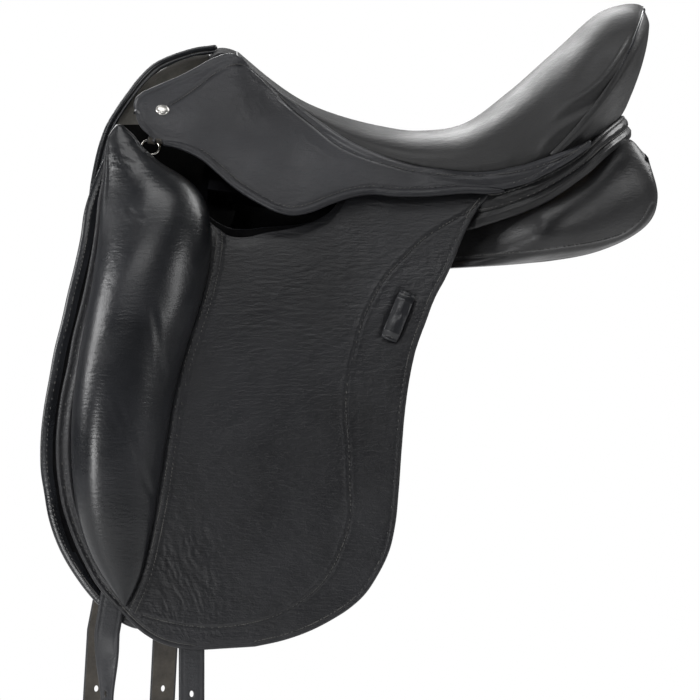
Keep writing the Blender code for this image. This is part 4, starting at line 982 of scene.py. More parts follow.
def cantle():
    across, down = np.linspace(-0.99, 0.99, 160), np.linspace(CANTLE_BACK_START, CANTLE_BACK_TUCK, 70)
    v, s = np.meshgrid(across, down, indexing="ij")
    grid, out = cantle_back_points(v, s)
    n = normals(grid, out)
    away, _, along = nearest(grid[..., 0], grid[..., 2], smooth_path(CANTLE_BACK_FOLD, 20))
    relief = 0.5 * MM * noise(v * 5 + 3, s * 4) - 0.8 * MM * bump(1 - s, 0.05)
    relief += FOLD_HEIGHT * bump(away, FOLD_WIDTH) * ease(along / (12 * MM)) * zone(np.abs(v), 0.4, 0.2)
    relief += crinkled(v * 0.13, s * 0.12, 0.25, 80, 26, 5, 0) * bump(s - 0.9, 0.3)
    outer = grid + n * (SKIN_HALF + relief)[..., None]
    inner = grid - n * SKIN_HALF
    shell("cantle_back_leather", outer, inner, SEAT, "root", "cantle_back")
    v = np.linspace(-0.96, 0.96, 160)
    rim, before = seat_points(np.ones_like(v), v), seat_points(np.full_like(v, 0.98), v)
    path = rim + unit(rim - before) * (WELT_RADIUS + 0.5 * MM)
    path[:, 2] -= PIPING_SUNK * bump(v, 0.4)
    radius = WELT_RADIUS * (1.0 - 0.5 * zone(np.abs(v), 0.45, 0.3))
    tube("cantle_piping", path, radius, 12, EDGE, "root", "cantle_welt")


FACING_UPPER = mm(
    (188, 0, 13), (183.5, 63, 8.5), (165, 107.5, -6.5), (144, 122, -26), (110, 130, -44), (76, 130, -56),
    (54, 122, -55),
)
FACING_LOWER = mm(
    (194, 0, -2), (190, 62, -7), (172, 107, -20.5), (149, 124.5, -41), (110, 134, -66.5), (60, 133.5, -84),
    (46, 130, -88),
)
FACING_HALF = 2.0 * MM
FACING_COLUMNS, FACING_ROWS = 260, 46
# Rolls and grooves along the band, by their place from its upper edge to its lower one
FACING_ROLLS = ((2.0, 0.28, 0.17), (-1.9, 0.55, 0.035), (2.4, 0.82, 0.15), (-0.9, 0.06, 0.03))
FACING_STITCH_LINES = (0.06, 0.50)


def rear_facing():
    s = np.linspace(-1, 1, FACING_COLUMNS)
    mirror = np.stack([np.ones_like(s), np.sign(s), np.ones_like(s)], axis=1)
    upper = track(FACING_UPPER, np.abs(s)) * mirror
    lower = track(FACING_LOWER, np.abs(s)) * mirror
    grid = ruled(upper, lower, FACING_ROWS)
    n = normals(grid, grid * np.array([0.6, 1, 0]))
    t = np.linspace(0, 1, FACING_ROWS)[None, :]
    s = np.abs(s)[:, None]
    relief = sum(height * MM * bump(t - at, width) for height, at, width in FACING_ROLLS)
    relief = relief * (0.4 + 0.6 * ease((1.0 - s) / 0.5) * zone(s, 0.05, 0.3))
    relief += 0.3 * MM * noise(s * 30, t * 5 + 2)
    outer = grid + n * (FACING_HALF + relief)[..., None]
    inner = grid - n * FACING_HALF
    shell("rear_facing_leather", outer, inner, PANEL, "root", "rear_facing")
    rows = []
    for line in FACING_STITCH_LINES:
        k = int(line * (FACING_ROWS - 1))
        for part in (slice(6, 124), slice(136, 254)):
            rows.append((outer[part, k], n[part, k]))
    stitches("rear_facing_stitching", rows, "root")


# ---------------------------------------------------------------- panel

PANEL_OUTER, PANEL_RIM = -35 * MM, -19 * MM
PANEL_TOP = mm(
    (-186, 64), (-190, 49), (-189, 26), (-181, 2), (-157, -18), (-120, -34), (-80, -50), (-30, -58),
    (40, -62), (98, -61), (143, -40), (174, -15), (193, -7.5), (206, -19),
)
PANEL_BOTTOM = mm(
    (-187, 70), (-212, 64.5), (-247, 41.5), (-276, -6), (-286, -72), (-264, -143), (-180, -146),
    (-85, -131), (20, -124), (100, -118.5), (163, -108.5), (206, -87), (218.5, -60), (210, -23.5),
)
PANEL_THICK = mm(3, 8, 14, 20, 23, 24, 26, 28, 30, 30, 30, 30, 26, 16)
REAR_START, REAR_FULL = 30 * MM, 120 * MM
REAR_CENTRE, REAR_TILT, REAR_HALF = 80 * MM, 30 * MM, 50 * MM
REAR_SHOULDER, REAR_SWELL = 10 * MM, 47 * MM
REAR_RIM = 3 * MM
REAR_TIP_WIDTH, REAR_TAPER = 55 * MM, 0.5
TAPER_START, TAPER_LENGTH = 110 * MM, 110 * MM
# Where the cushion starts to close towards its rear tip, along the panel, and the share left at the tip
END_FROM, END_LEFT = 0.74, 0.03
PANEL_ROWS, PANEL_COLUMNS = 230, 70
PANEL_SEAM = mm(
    (30, -117), (60, -114), (100, -110.5), (140, -105.5), (170, -100), (192, -92), (206, -80), (214, -66),
)
PANEL_SEAM_FORM, PANEL_SEAM_CRINKLES = ((-1.0, 0, 1.3), (0.5, 3, 2)), (0.25, 60, 20, 5, 0)
# The panel shows suede at the gullet, and near-black painted shade in the recess under the skirt
SUEDE_FROM_Z, SUEDE_TO_X = 5 * MM, -120 * MM
SHADE_FROM_Z, SHADE_TO_X = -110 * MM, -40 * MM


def fullness(t, lean=1.3):
    """How far a cushion swells across its width: quick at both edges, round between."""
    return np.maximum(0.0, 1 - np.abs(2 * t**lean - 1) ** 2.2) ** 0.6


def panel_points(side, grid, s, t, outer):
    """The panel's outer or inner face: a pad behind the flap, then a cushion at the rear."""
    x, z = grid[..., 0], grid[..., 1]
    swell = fullness(t)
    deep = PANEL_OUTER + (PANEL_RIM - PANEL_OUTER) * t**6
    if not outer:
        deep = deep - 1.5 * MM - track(PANEL_THICK, s) * swell
    pad = side_points(1, x, z, deep)[..., 1]
    cushion = REAR_CENTRE + REAR_TILT * t
    closing = zone(s, END_FROM, 1 - END_FROM) ** 2.4
    end = np.sqrt(np.maximum(0.0, 1 - closing)) * (1 - END_LEFT) + END_LEFT
    if outer:
        cushion = cushion + REAR_RIM + (REAR_SHOULDER * (1 - t) + REAR_SWELL * fullness(t, 1.0)) * end
    else:
        cushion = cushion - REAR_RIM - REAR_HALF * swell * end
    cushion = blend(cushion, REAR_TIP_WIDTH, REAR_TAPER * zone(x, TAPER_START, TAPER_LENGTH))
    rear = zone(x, REAR_START, REAR_FULL - REAR_START)
    return np.stack([x, side * blend(pad, cushion, rear), z], axis=-1)


def panel(label, side):
    s, t = eased_grid(PANEL_ROWS, PANEL_COLUMNS)
    grid = between(track(PANEL_TOP, s[:, 0]), track(PANEL_BOTTOM, s[:, 0]), t)
    outer = panel_points(side, grid, s, t, True)
    inner = panel_points(side, grid, s, t, False)
    n = normals(outer, (0, side, 0))
    x, z = outer[..., 0], outer[..., 2]
    away = distance(x, z, smooth_path(PANEL_SEAM, 40))
    relief = raised(away, PANEL_SEAM_FORM) + uneven(x, z, 0.9, 45, 2, 7) * zone(x, 0.02, 0.05)
    relief += crinkled(x, z, *PANEL_SEAM_CRINKLES) * bump(away - 8 * MM, 10 * MM)
    fade = ease(np.minimum(t, 1 - t) / 0.05) * ease((1 - s) / 0.08)
    outer = outer + n * (relief * fade)[..., None]
    name = f"panel_cushion_{label}"
    points, faces, kinds = shell_mesh(outer, inner, rim_steps=5, bulge=0.25)
    centre = points[faces].mean(axis=1)
    front = (centre[:, 2] > SUEDE_FROM_Z) & (centre[:, 0] < SUEDE_TO_X)
    # Faces in the recess under the skirt get the painted shade
    recess = (centre[:, 2] > SHADE_FROM_Z) & (centre[:, 0] < SHADE_TO_X) & ~front
    kinds = np.where(front, 1, np.where(recess, 2, 0))
    surfaces = [PANEL, SUEDE, SHADE]
    add_object(name, points, faces.tolist(), surfaces, "root", f"panel_{label}", kinds)
    row = cast(tree_of(name), side, inset(smooth_path(PANEL_SEAM, 60), 2.2 * MM))
    stitches(f"panel_stitching_{label}", [row], "root")


PANEL_WELT = mm(
    (-181.5, 76.2), (-197.5, 74), (-211, 70.2), (-222.5, 66), (-234.5, 59.9), (-246.6, 48.7),
    (-259, 32.6), (-269.8, 16.6), (-277, 4), (-281.5, -8), (-285, -20.6), (-287.6, -33),
    (-290.5, -50), (-292, -76), (-290, -106), (-279, -135),
)
WELT_THICK, WELT_DEPTH = 2.7 * MM, -20 * MM
CORD_THICK, CORD_DEPTH, CORD_INSET = 1.4 * MM, -19.2 * MM, 4.0 * MM


def panel_welt(label, side):
    """The rolled front edge of the panel, and a finer cord inside it."""
    path = smooth_path(PANEL_WELT, 120)
    thick = WELT_THICK * (1 - 0.35 * zone(np.linspace(0, 1, 120), 0.8, 0.2))
    roll = tube_mesh(side_points(side, path[:, 0], path[:, 1], WELT_DEPTH), thick, 14)
    line = inset(path, CORD_INSET)
    cord = tube_mesh(side_points(side, line[:, 0], line[:, 1], CORD_DEPTH), CORD_THICK, 10)
    points, faces = joined([roll, cord])
    add_object(f"panel_piping_{label}", points, faces, [EDGE], "root", f"panel_welt_{label}")


LINING_ROWS, LINING_COLUMNS, LINING_HALF = 90, 40, 1.2 * MM


def gullet_lining():
    u = blend(0.12, 0.93, np.linspace(0, 1, LINING_ROWS))
    middle = seat_points(u, np.zeros_like(u))
    drop = blend(45, 68, ease(np.linspace(0, 1, LINING_ROWS))) * MM
    y = np.linspace(-30, 30, LINING_COLUMNS) * MM
    x, y_all = np.meshgrid(middle[:, 0], y, indexing="ij")
    z = (middle[:, 2] - drop)[:, None] + 0.6 * MM * noise(u[:, None] * 20, y[None] * 60)
    grid = np.stack([x, y_all, z], axis=-1)
    n = normals(grid, (0, 0, -1)) * LINING_HALF
    shell("gullet_lining_suede", grid + n, grid - n, SUEDE, "root", "gullet_lining")


# ---------------------------------------------------------------- flaps

FLAP_THICK = 4 * MM
SWEAT_OFFSET, SWEAT_THICK = -12.5 * MM, 3.2 * MM
FLAP_FRONT = mm(
    (-276, -4), (-279.5, -20), (-281.5, -41.6), (-285.5, -61.5), (-287.8, -83.3), (-291.4, -108.6),
    (-295.9, -134), (-301.4, -159.3), (-307.7, -184.6), (-312.2, -210), (-317.7, -235.3),
    (-321.3, -260.6), (-322.6, -287.8), (-320.8, -315), (-318, -333), (-313, -351), (-306.3, -369),
    (-297.7, -387.3), (-287.8, -405.4), (-267, -430), (-244.4, -451.6), (-230.8, -459.7),
    (-214.5, -464.7), (-198, -467),
)
FLAP_REAR = mm(
    (70, -53), (65, -60), (57, -69), (49.5, -81.5), (43, -95), (33.5, -118), (26, -134),
    (19, -146.6), (9, -172), (0, -197.3), (-5.5, -222.6), (-9.5, -250), (-12.7, -286),
    (-15.3, -324), (-18.5, -355), (-23.5, -377), (-34.4, -400), (-46, -417), (-60, -429.5),
    (-73.3, -438), (-98.6, -450.7), (-120, -458), (-144, -463.4),
)
SWEAT_FRONT = mm(
    (-279, -20), (-289.5, -45.3), (-297.7, -70.6), (-301.4, -96), (-306.8, -121.3), (-313, -146.6),
    (-318.6, -172), (-324.9, -197.3), (-329.4, -222.6), (-333.9, -248), (-336.7, -273.3),
    (-337.2, -292), (-336.7, -306), (-333.9, -324), (-329.4, -349.3), (-320.4, -374.7),
    (-306, -400), (-287, -424.5), (-267, -441), (-254, -447), (-240, -449), (-220, -450.5),
    (-185, -454),
)
SWEAT_REAR = mm(
    (48, -70), (38, -84), (26, -106), (12, -132), (1, -156), (-8, -182), (-15, -208), (-20, -243),
    (-24, -279), (-26, -315), (-30, -350), (-35, -374), (-44, -395), (-56, -411), (-72, -427),
    (-92, -440), (-116, -449), (-145, -455),
)
# How far the flap's top edge is cut down below the lift line, so that the bar and dee can be reached
CUT = mm(
    (-262, 0), (-256, 5), (-248, 20), (-240, 27), (-222, 30), (-206, 40), (-193, 55), (-180, 70),
    (-167, 76), (-152, 75), (-137, 69.5), (-107, 60), (-92, 53), (-77, 42), (-62, 20), (-50, 0),
)
CUT_FADE = 165 * MM
INSET_SEAM = mm(
    (66, -59), (48, -72), (26, -85), (7, -97.5), (-9, -113), (-24, -128.5), (-37, -149), (-46, -167),
    (-52.5, -188), (-58, -211), (-61.5, -229), (-62, -261), (-60.6, -275), (-59, -319), (-58.5, -347.5),
    (-67, -376.5), (-79, -400), (-99, -420), (-122, -434), (-158, -444), (-186, -446), (-207, -444),
    (-228, -440), (-245, -435),
)
KEEPER_CENTRE = mm((-15.4, -167))[0]
KEEPER_LENGTH, KEEPER_WIDTH, KEEPER_LEAN = 43.6 * MM, 14 * MM, math.radians(22)
BLOCK_FRONT = mm(
    (-270, 5.5), (-276, -3), (-278.6, -20), (-280.1, -43.4), (-282.4, -61.5), (-285.5, -97.7),
    (-290.5, -134), (-296.8, -170), (-303.2, -206.3), (-307.7, -242.5), (-309.5, -278.7),
    (-307.7, -315), (-302.3, -351), (-288.7, -387.3), (-277.8, -405.4), (-263, -426),
)
BLOCK_REAR = mm(
    (-264, 5.5), (-254, -3), (-247, -12), (-238.5, -20.5), (-228.5, -29), (-215, -37),
    (-201.5, -46.5), (-192.5, -57), (-186.8, -70), (-184.2, -84.2), (-183.3, -99.6), (-184.8, -117.7),
    (-188.2, -136), (-194, -158), (-205, -193), (-217, -239), (-224, -281), (-231, -325),
    (-238, -365), (-247, -401), (-259, -427),
)
WELT_BAND = mm(
    (-178, -80), (-176.5, -100), (-179, -122), (-184, -145), (-195, -180), (-206, -215), (-213.5, -250),
    (-219, -290), (-226, -335), (-233, -370), (-241, -402), (-254, -432),
)
FLAP_BEAD = ((0.35, 1.5, 1.6), (-0.45, 4.6, 1.2))
FLAP_RIDGE_INSET, FLAP_RIDGE = 10.8 * MM, ((1.7, 0, 1.7), (-0.8, 4.5, 2))
SEAM_STEP, SEAM_STEP_WIDTH, SEAM_FORM = 0.9 * MM, 3.2 * MM, ((-0.75, 0, 1.0), (0.35, 2.6, 1.8))
BAND_RISE, BAND_HALF, BAND_SLOPE, BAND_GROOVE = 1.5 * MM, 5.0 * MM, 1.8 * MM, ((0.6, 2.6, 0.9),)
KEEPER_PRESS = ((1.3, 0.5, 2.2),)
# Height, direction, length, pitch and level of the wrinkles in each part of the flap
REAR_CRINKLES, KEEPER_CRINKLES = (0.7, 2, 13, 2.3, 0.45), (0.5, -8, 18, 3.2, 0.45)
TOE_PUCKERS, MIDDLE_CRINKLES = (1.1, -70, 12, 2.7, 0.45), (0.5, -5, 20, 3.4, 0.45)
CUT_ROLL, CUT_ROLL_DEPTH = 2.6 * MM, 11 * MM


def outline(front, rear):
    """A flap's whole edge, from the top of its rear round the bottom to the top of its front."""
    return np.concatenate([smooth_path(rear, 60), smooth_path(front, 60)[::-1]])


def cut_depth(x):
    line = smooth_path(CUT, 160)
    return np.interp(x, line[:, 0], line[:, 1])


def flap_grid(front, rear, rows, columns, drop, cut, margin):
    """A flap's side view inside its rounded edge, its top under the lift line and cut down along it."""
    left, right = inset(smooth_path(front, rows), margin), inset(smooth_path(rear, rows), -margin)
    left[0, 1] = lift_z(left[0, 0]) - drop
    right[0, 1] = lift_z(right[0, 0]) - drop
    grid = ruled(left, right, columns)
    x, z = grid[..., 0], grid[..., 1]
    share = np.clip(1 - (lift_z(x) - z) / CUT_FADE, 0, 1)
    return x, z - cut_depth(x) * cut * share


def flap_relief(x, z):
    away = distance(x, z, outline(FLAP_FRONT, FLAP_REAR))
    seam_away, seam_side, _ = nearest(x, z, smooth_path(INSET_SEAM, 90))
    ridge = distance(x, z, inset(smooth_path(FLAP_FRONT, 90), FLAP_RIDGE_INSET))
    band = distance(x, z, smooth_path(WELT_BAND, 60))
    relief = SEAM_STEP * ease(0.5 - seam_side * seam_away / SEAM_STEP_WIDTH)
    relief += raised(seam_away, SEAM_FORM) + raised(away, FLAP_BEAD)
    relief += raised(ridge, FLAP_RIDGE) * ease((-0.03 - z) / 0.05) * zone(z, -0.43, 0.05)
    relief += BAND_RISE * ease((BAND_HALF - band) / BAND_SLOPE) - raised(band, BAND_GROOVE)
    from_keeper_x, from_keeper_z = x - KEEPER_CENTRE[0], z - KEEPER_CENTRE[1]
    along, across = turned(from_keeper_x, from_keeper_z, 90 - math.degrees(KEEPER_LEAN))
    border = np.maximum(np.abs(along) - KEEPER_LENGTH / 2, np.abs(across) - KEEPER_WIDTH / 2)
    relief -= raised(border, KEEPER_PRESS)
    # Wrinkles: the band behind the seam, round the keeper, the puckered toe, and the middle
    rear_band = ease(seam_side * seam_away / (6 * MM)) * zone(away, 4 * MM, 6 * MM)
    near_keeper = bump(np.hypot(from_keeper_x, from_keeper_z), 0.10) * (1 - rear_band)
    toe = zone(x, -0.245, 0.02) * ease((-0.15 - x) / 0.05) * bump(z + 0.39, 0.055)
    toe = toe * zone(band, 4 * MM, 4 * MM)
    relief += crinkled(x, z, *REAR_CRINKLES) * rear_band * (0.35 + 0.65 * zone(z, -0.30, 0.10))
    relief += crinkled(x, z, *KEEPER_CRINKLES) * near_keeper
    relief += crinkled(x, z, *TOE_PUCKERS) * toe
    relief += crinkled(x, z, *MIDDLE_CRINKLES) * bump(x + 0.10, 0.08) * bump(z + 0.15, 0.07)
    relief += uneven(x, z, 0.8, 90, 1, 2) + uneven(x, z, 0.12, 20, 0, 9)
    # The cut top edge rolls inwards
    cut = cut_depth(x)
    rim = lift_z(x) - 0.8 * MM - cut - z
    relief -= CUT_ROLL * ease(1 - rim / CUT_ROLL_DEPTH) * ease(cut / (12 * MM))
    return relief * ease((lift_z(x) - z) / (7 * MM))


def flap(label, side):
    x, z = flap_grid(FLAP_FRONT, FLAP_REAR, 250, 190, 0.8 * MM, 1.0, 2 * MM)
    base = side_points(side, x, z, FLAP_THICK / 2)
    n = normals(base, (0, side, 0))
    outer = base + n * flap_relief(x, z)[..., None]
    inner = base - n * FLAP_THICK
    name, node = f"flap_leather_{label}", f"flap_{label}"
    shell(name, outer, inner, FLAP, node, node)


BLOCK_HEIGHT = mm(2.5, 14.5, 30, 38, 41, 41, 39, 34, 26, 15, 4)
# How the block's crown leans: towards the back at the top, towards the front further down
BLOCK_LEAN = (1.15, 0.66)
BLOCK_COVER, BLOCK_SKIN = 2.4 * MM, 2.0 * MM
# Where a piece that lies on the flap starts
ON_FLAP = FLAP_THICK / 2 + 0.4 * MM
BLOCK_ROWS, BLOCK_COLUMNS = 190, 90
# Long soft creases of the knee block: path, depth, half-width
BLOCK_CREASES = (
    (mm((-240, -143), (-232, -180), (-226, -230)), 0.35 * MM, 2.5 * MM),
    (mm((-274, -228), (-255, -275), (-240, -320), (-226, -345)), 0.35 * MM, 2.5 * MM),
    (mm((-262, -66), (-252, -76), (-240, -80)), 0.5 * MM, 2.2 * MM),
)
# A dent near the block's top: its place, depth and width
DENT_X, DENT_Z, DENT_DEPTH, DENT_WIDTH = -268 * MM, -55 * MM, 3.0 * MM, 24 * MM
NECK_CRINKLES, FRONT_CRINKLES = (0.9, -8, 24, 5.0), (0.35, -48, 14, 3.4)


def block_height(s, t):
    """Height of the knee block over the flap: s from its top down, t from its front edge back."""
    lean = blend(*BLOCK_LEAN, zone(s, 0.12, 0.25))
    return BLOCK_COVER + track(BLOCK_HEIGHT, s) * fullness(t, lean)


def knee_block(label, side):
    s, t = eased_grid(BLOCK_ROWS, BLOCK_COLUMNS)
    grid = between(smooth_path(BLOCK_FRONT, BLOCK_ROWS), smooth_path(BLOCK_REAR, BLOCK_ROWS), t)
    x, z = grid[..., 0], grid[..., 1]
    outer = side_points(side, x, z, ON_FLAP + block_height(s, t))
    n = normals(outer, (0, side, 0))
    relief = 0.9 * MM * noise(x / 0.06 + 6, z / 0.10 + 1)
    relief += crinkled(x, z, *NECK_CRINKLES) * bump(z + 0.022, 0.022) * ease((-0.225 - x) / 0.03)
    relief -= DENT_DEPTH * bump(np.hypot(x - DENT_X, (z - DENT_Z) * 0.8), DENT_WIDTH)
    for path, depth, width in BLOCK_CREASES:
        away, _, along = nearest(x, z, smooth_path(path, 16))
        crease = bump(away, width) - 0.6 * bump(away - 2.2 * width, width)
        relief -= depth * crease * fold_fade(along, path, 0.3, 0.3)
    relief += crinkled(x, z, *FRONT_CRINKLES) * bump(t - 0.17, 0.13) * bump(z + 0.16, 0.09)
    edge = np.minimum(t, 1 - t) * ease(s / 0.03) * ease((1 - s) / 0.03)
    outer = outer + n * (relief * ease(edge / 0.06))[..., None]
    inner = outer - n * BLOCK_SKIN
    name, node = f"knee_block_leather_{label}", f"knee_block_cover_{label}"
    shell(name, outer, inner, BLOCK, f"flap_{label}", node)


ROLL_HALF, ROLL_HEIGHT, ROLL_STEP = 4.6 * MM, 2.1 * MM, 1.0 * MM


def sweat_flap(label, side):
    """The sweat flap with its rolled edge; the field inside the roll is painted near-black, the shade under
    the flap's edge.
    """
    x, z = flap_grid(SWEAT_FRONT, SWEAT_REAR, 190, 110, 16 * MM, 0.78, 2.4 * MM)
    base = side_points(side, x, z, SWEAT_OFFSET + SWEAT_THICK / 2)
    n = normals(base, (0, side, 0))
    away = distance(x, z, outline(SWEAT_FRONT, SWEAT_REAR))
    roll = np.sqrt(np.maximum(0.0, 1 - ((away - ROLL_HALF) / ROLL_HALF) ** 2))
    relief = ROLL_HEIGHT * roll * (0.4 + 0.6 * zone(z, -0.43, 0.04))
    relief -= ROLL_STEP * zone(away, 1.8 * ROLL_HALF, 2 * MM)
    relief += uneven(x, z, 0.3, 50, 4) * ease(away / (12 * MM))
    outer = base + n * relief[..., None]
    inner = base - n * (SWEAT_THICK + 0.5 * MM * bump(away - 2.2 * MM, 2.4 * MM))[..., None]
    points, faces, kinds = shell_mesh(outer, inner, rim_steps=6)
    # The field inside the roll gets the near-black painted shade
    field = (away[:-1, :-1] > 2 * ROLL_HALF).reshape(-1)
    kinds[:len(field)] = np.where(field, 2, 0)
    name, surfaces = f"sweat_flap_leather_{label}", [EDGE, LINING, SHADE]
    body, node = f"sweat_{label}", f"sweat_flap_{label}"
    add_object(name, points, faces.tolist(), surfaces, body, node, kinds)


KEEPER_ARCH, KEEPER_CROWN, KEEPER_THICK = 3.6 * MM, 1.3 * MM, 1.6 * MM
KEEPER_STITCH_AT, KEEPER_STITCH_STEP = 0.455, 4.6 * MM


def keeper(label, side):
    """The stitched loop that holds the end of the stirrup leather: flat ends, arched between."""
    along = np.array([math.sin(KEEPER_LEAN), math.cos(KEEPER_LEAN)])
    across = np.array([along[1], -along[0]])
    a, b = np.meshgrid(np.linspace(-0.5, 0.5, 60), np.linspace(-0.5, 0.5, 26), indexing="ij")
    wide = b * (1 - 0.10 * zone(np.abs(a), 0.42, 0.08)) * KEEPER_WIDTH
    flat = KEEPER_CENTRE + along * (a * KEEPER_LENGTH)[..., None] + across * wide[..., None]
    x, z = flat[..., 0], flat[..., 1]
    arch = ON_FLAP + KEEPER_ARCH * ease((0.47 - np.abs(a)) / 0.14)
    crown = KEEPER_CROWN * (1 - (2 * b) ** 2) + 0.3 * MM * noise(a * 6, b * 4)
    outer = side_points(side, x, z, arch + KEEPER_THICK + crown)
    inner = side_points(side, x, z, arch)
    name, body = f"keeper_leather_{label}", f"flap_{label}"
    shell(name, outer, inner, BLOCK, body, f"keeper_{label}")
    search = tree_of(name)
    rows = []
    for end in (-1, 1):
        place = KEEPER_CENTRE + along * end * KEEPER_STITCH_AT * KEEPER_LENGTH
        rows.append(cast(search, side, [place + across * k * KEEPER_STITCH_STEP for k in (-1, 0, 1)]))
    stitches(f"keeper_stitching_{label}", rows, body)


def flap_stitching(label, side):
    rear = inset(smooth_path(FLAP_REAR, 260), -4.6 * MM)
    rear = rear[rear[:, 1] < lift_z(rear[:, 0]) - 9 * MM]
    front = inset(smooth_path(FLAP_FRONT, 260), 4.6 * MM)
    front = front[front[:, 1] < -0.020]
    seam = smooth_path(INSET_SEAM, 260)
    seam = seam[seam[:, 1] < lift_z(seam[:, 0]) - 12 * MM]
    band = smooth_path(WELT_BAND, 200)
    lines = [rear, front, seam, inset(band, -2.6 * MM), inset(band, 2.6 * MM)]
    search = tree_of(f"flap_leather_{label}")
    stitches(f"flap_stitching_{label}", [cast(search, side, line) for line in lines], f"flap_{label}")
    front = inset(smooth_path(SWEAT_FRONT, 220), 6 * MM)[4:]
    rear = inset(smooth_path(SWEAT_REAR, 220), -6 * MM)[12:]
    search = tree_of(f"sweat_flap_leather_{label}")
    rows = [cast(search, side, line) for line in (front, rear)]
    stitches(f"sweat_flap_stitching_{label}", rows, f"sweat_{label}")


# ---------------------------------------------------------------- girth straps

STRAP_OFFSET, STRAP_THICK, STRAP_WIDTH = -6.5 * MM, 3.2 * MM, 20 * MM
# How far the right straps lean forwards as they hang, as a slope
STRAP_LEAN = {"front": {"left": 0, "right": 0.06}, "rear": {"left": 0, "right": 0.05}}
STRAP_PATHS = {
    "front": {
        "left": mm((-218, -98), (-231, -190), (-249, -290), (-267, -390), (-277, -452)),
        "right": mm((-218, -98), (-233, -190), (-254, -290), (-275, -390), (-287, -452)),
    },
    "rear": {
        "left": mm((-150, -118), (-166, -210), (-184, -310), (-197, -410), (-201, -456)),
        "right": mm((-150, -118), (-170, -210), (-195, -310), (-218, -410), (-227, -456)),
    },
}
STRAP_END, TIP_LENGTH = -700 * MM, 18 * MM
TWIST_START, TWIST_LENGTH = -440 * MM, 75 * MM
# How far each hanging strap has turned about its own length by its tip, in degrees
STRAP_TWIST = {"front": {"left": 64, "right": 0}, "rear": {"left": 4, "right": -6}}
STRAP_GROOVE, GROOVE_AT, GROOVE_WIDTH = 0.35 * MM, 0.74, 0.07
HOLE_HEIGHTS = (-506 - 22 * np.arange(8)) * MM
HOLE_WIDE, HOLE_TALL = 1.8 * MM, 2.9 * MM
# Round a hole, in hole sizes: points this near are dropped, points this near are moved to its rim
HOLE_INSIDE, HOLE_AROUND = 0.72, 1.75


def strap_rows(path, lean):
    """Heights along a strap, closer together round each hole: side-view points down its middle."""
    hidden = smooth_path(path, 60)
    z = [np.arange(hidden[-1, 1] - 4 * MM, HOLE_HEIGHTS[0] + 6 * MM, -4 * MM)]
    for hole in HOLE_HEIGHTS:
        z.append(hole + np.linspace(6, -6, 9) * MM)
        z.append(hole - np.linspace(8, 14, 3) * MM)
    z.append(np.linspace(HOLE_HEIGHTS[-1] - 15 * MM, STRAP_END, 8))
    z = np.concatenate(z)
    hanging = np.stack([hidden[-1, 0] + lean * (z - hidden[-1, 1]), z], axis=1)
    return np.concatenate([hidden, hanging]), hidden[-1]


def girth_strap(place, label, side):
    path, last_hidden = strap_rows(STRAP_PATHS[place][label], STRAP_LEAN[place][label])
    lane = np.linspace(-1, 1, 19)
    middle = path[:, :1]
    x = middle + lane[None] * STRAP_WIDTH / 2
    z = np.broadcast_to(path[:, 1:], x.shape)
    foot = side_points(side, *last_hidden, STRAP_OFFSET)[1]
    straight = ease((last_hidden[1] - z) / (18 * MM))[..., None]
    tip = ease((STRAP_END + TIP_LENGTH - z) / TIP_LENGTH)
    faces_out = []
    for half in (0.5, -0.5):
        grid = side_points(side, x, z, STRAP_OFFSET + half * STRAP_THICK)
        hang = np.stack([x, np.full_like(x, foot + side * half * STRAP_THICK), z], axis=-1)
        grid = grid * (1 - straight) + hang * straight
        grid[..., 0] = middle + (grid[..., 0] - middle) * (1 - 0.5 * tip**2)
        faces_out.append(grid)
    outer, inner = faces_out
    outer[..., 1] -= side * STRAP_GROOVE * bump(np.abs(lane)[None] - GROOVE_AT, GROOVE_WIDTH)
    # Ovals opened in the grid: points near a hole are moved onto its rim, then the faces inside left out
    inside = np.zeros(x.shape, bool)
    for hole in HOLE_HEIGHTS:
        r = np.hypot((outer[..., 0] - middle) / HOLE_WIDE, (z - hole) / HOLE_TALL)
        rim = (r >= HOLE_INSIDE) & (r < HOLE_AROUND)
        scale = np.where(rim, 1.0 / np.maximum(r, HOLE_INSIDE), 1.0)
        for grid in (outer, inner):
            grid[..., 0] = middle + (grid[..., 0] - middle) * scale
            grid[..., 2] = hole + (grid[..., 2] - hole) * scale
        inside |= r < HOLE_INSIDE
    turn = np.radians(STRAP_TWIST[place][label]) * ease((TWIST_START - z) / TWIST_LENGTH)
    for grid in (outer, inner):
        dx, dy = grid[..., 0] - middle, grid[..., 1] - foot
        grid[..., 0] = np.where(z < TWIST_START, middle + dx * np.cos(turn) + dy * np.sin(turn), grid[..., 0])
        grid[..., 1] = np.where(z < TWIST_START, foot + dy * np.cos(turn) - dx * np.sin(turn), grid[..., 1])
    points, faces, kinds = shell_mesh(outer, inner)
    gone = np.zeros(len(points), bool)
    gone[:2 * x.size] = np.tile(inside.ravel(), 2)
    keep = ~gone[faces].any(axis=1)
    walls = open_walls(faces[keep], x.size)
    kinds = np.concatenate([kinds[keep], np.ones(len(walls), int)])
    used, faces = np.unique(np.concatenate([faces[keep], walls]), return_inverse=True)
    name, node = f"girth_strap_leather_{place}_{label}", f"girth_strap_{place}_{label}"
    body, faces = f"strap_{place}_{label}", faces.reshape(-1, 4).tolist()
    add_object(name, points[used], faces, [STRAP, BACK], body, node, kinds)


def open_walls(faces, count):
    """Faces that close the holes of a shell: one from each open edge of the front to the back."""
    starts, ends = faces.reshape(-1), np.roll(faces, -1, axis=1).reshape(-1)
    edges = set(zip(starts.tolist(), ends.tolist()))
    walls = []
    for i, j in sorted(edges):
        if (j, i) not in edges and i < count and j < count:
            walls.append((j, i, i + count, j + count))
    return np.array(walls, int).reshape(-1, 4)


# ---------------------------------------------------------------- metal and hidden parts


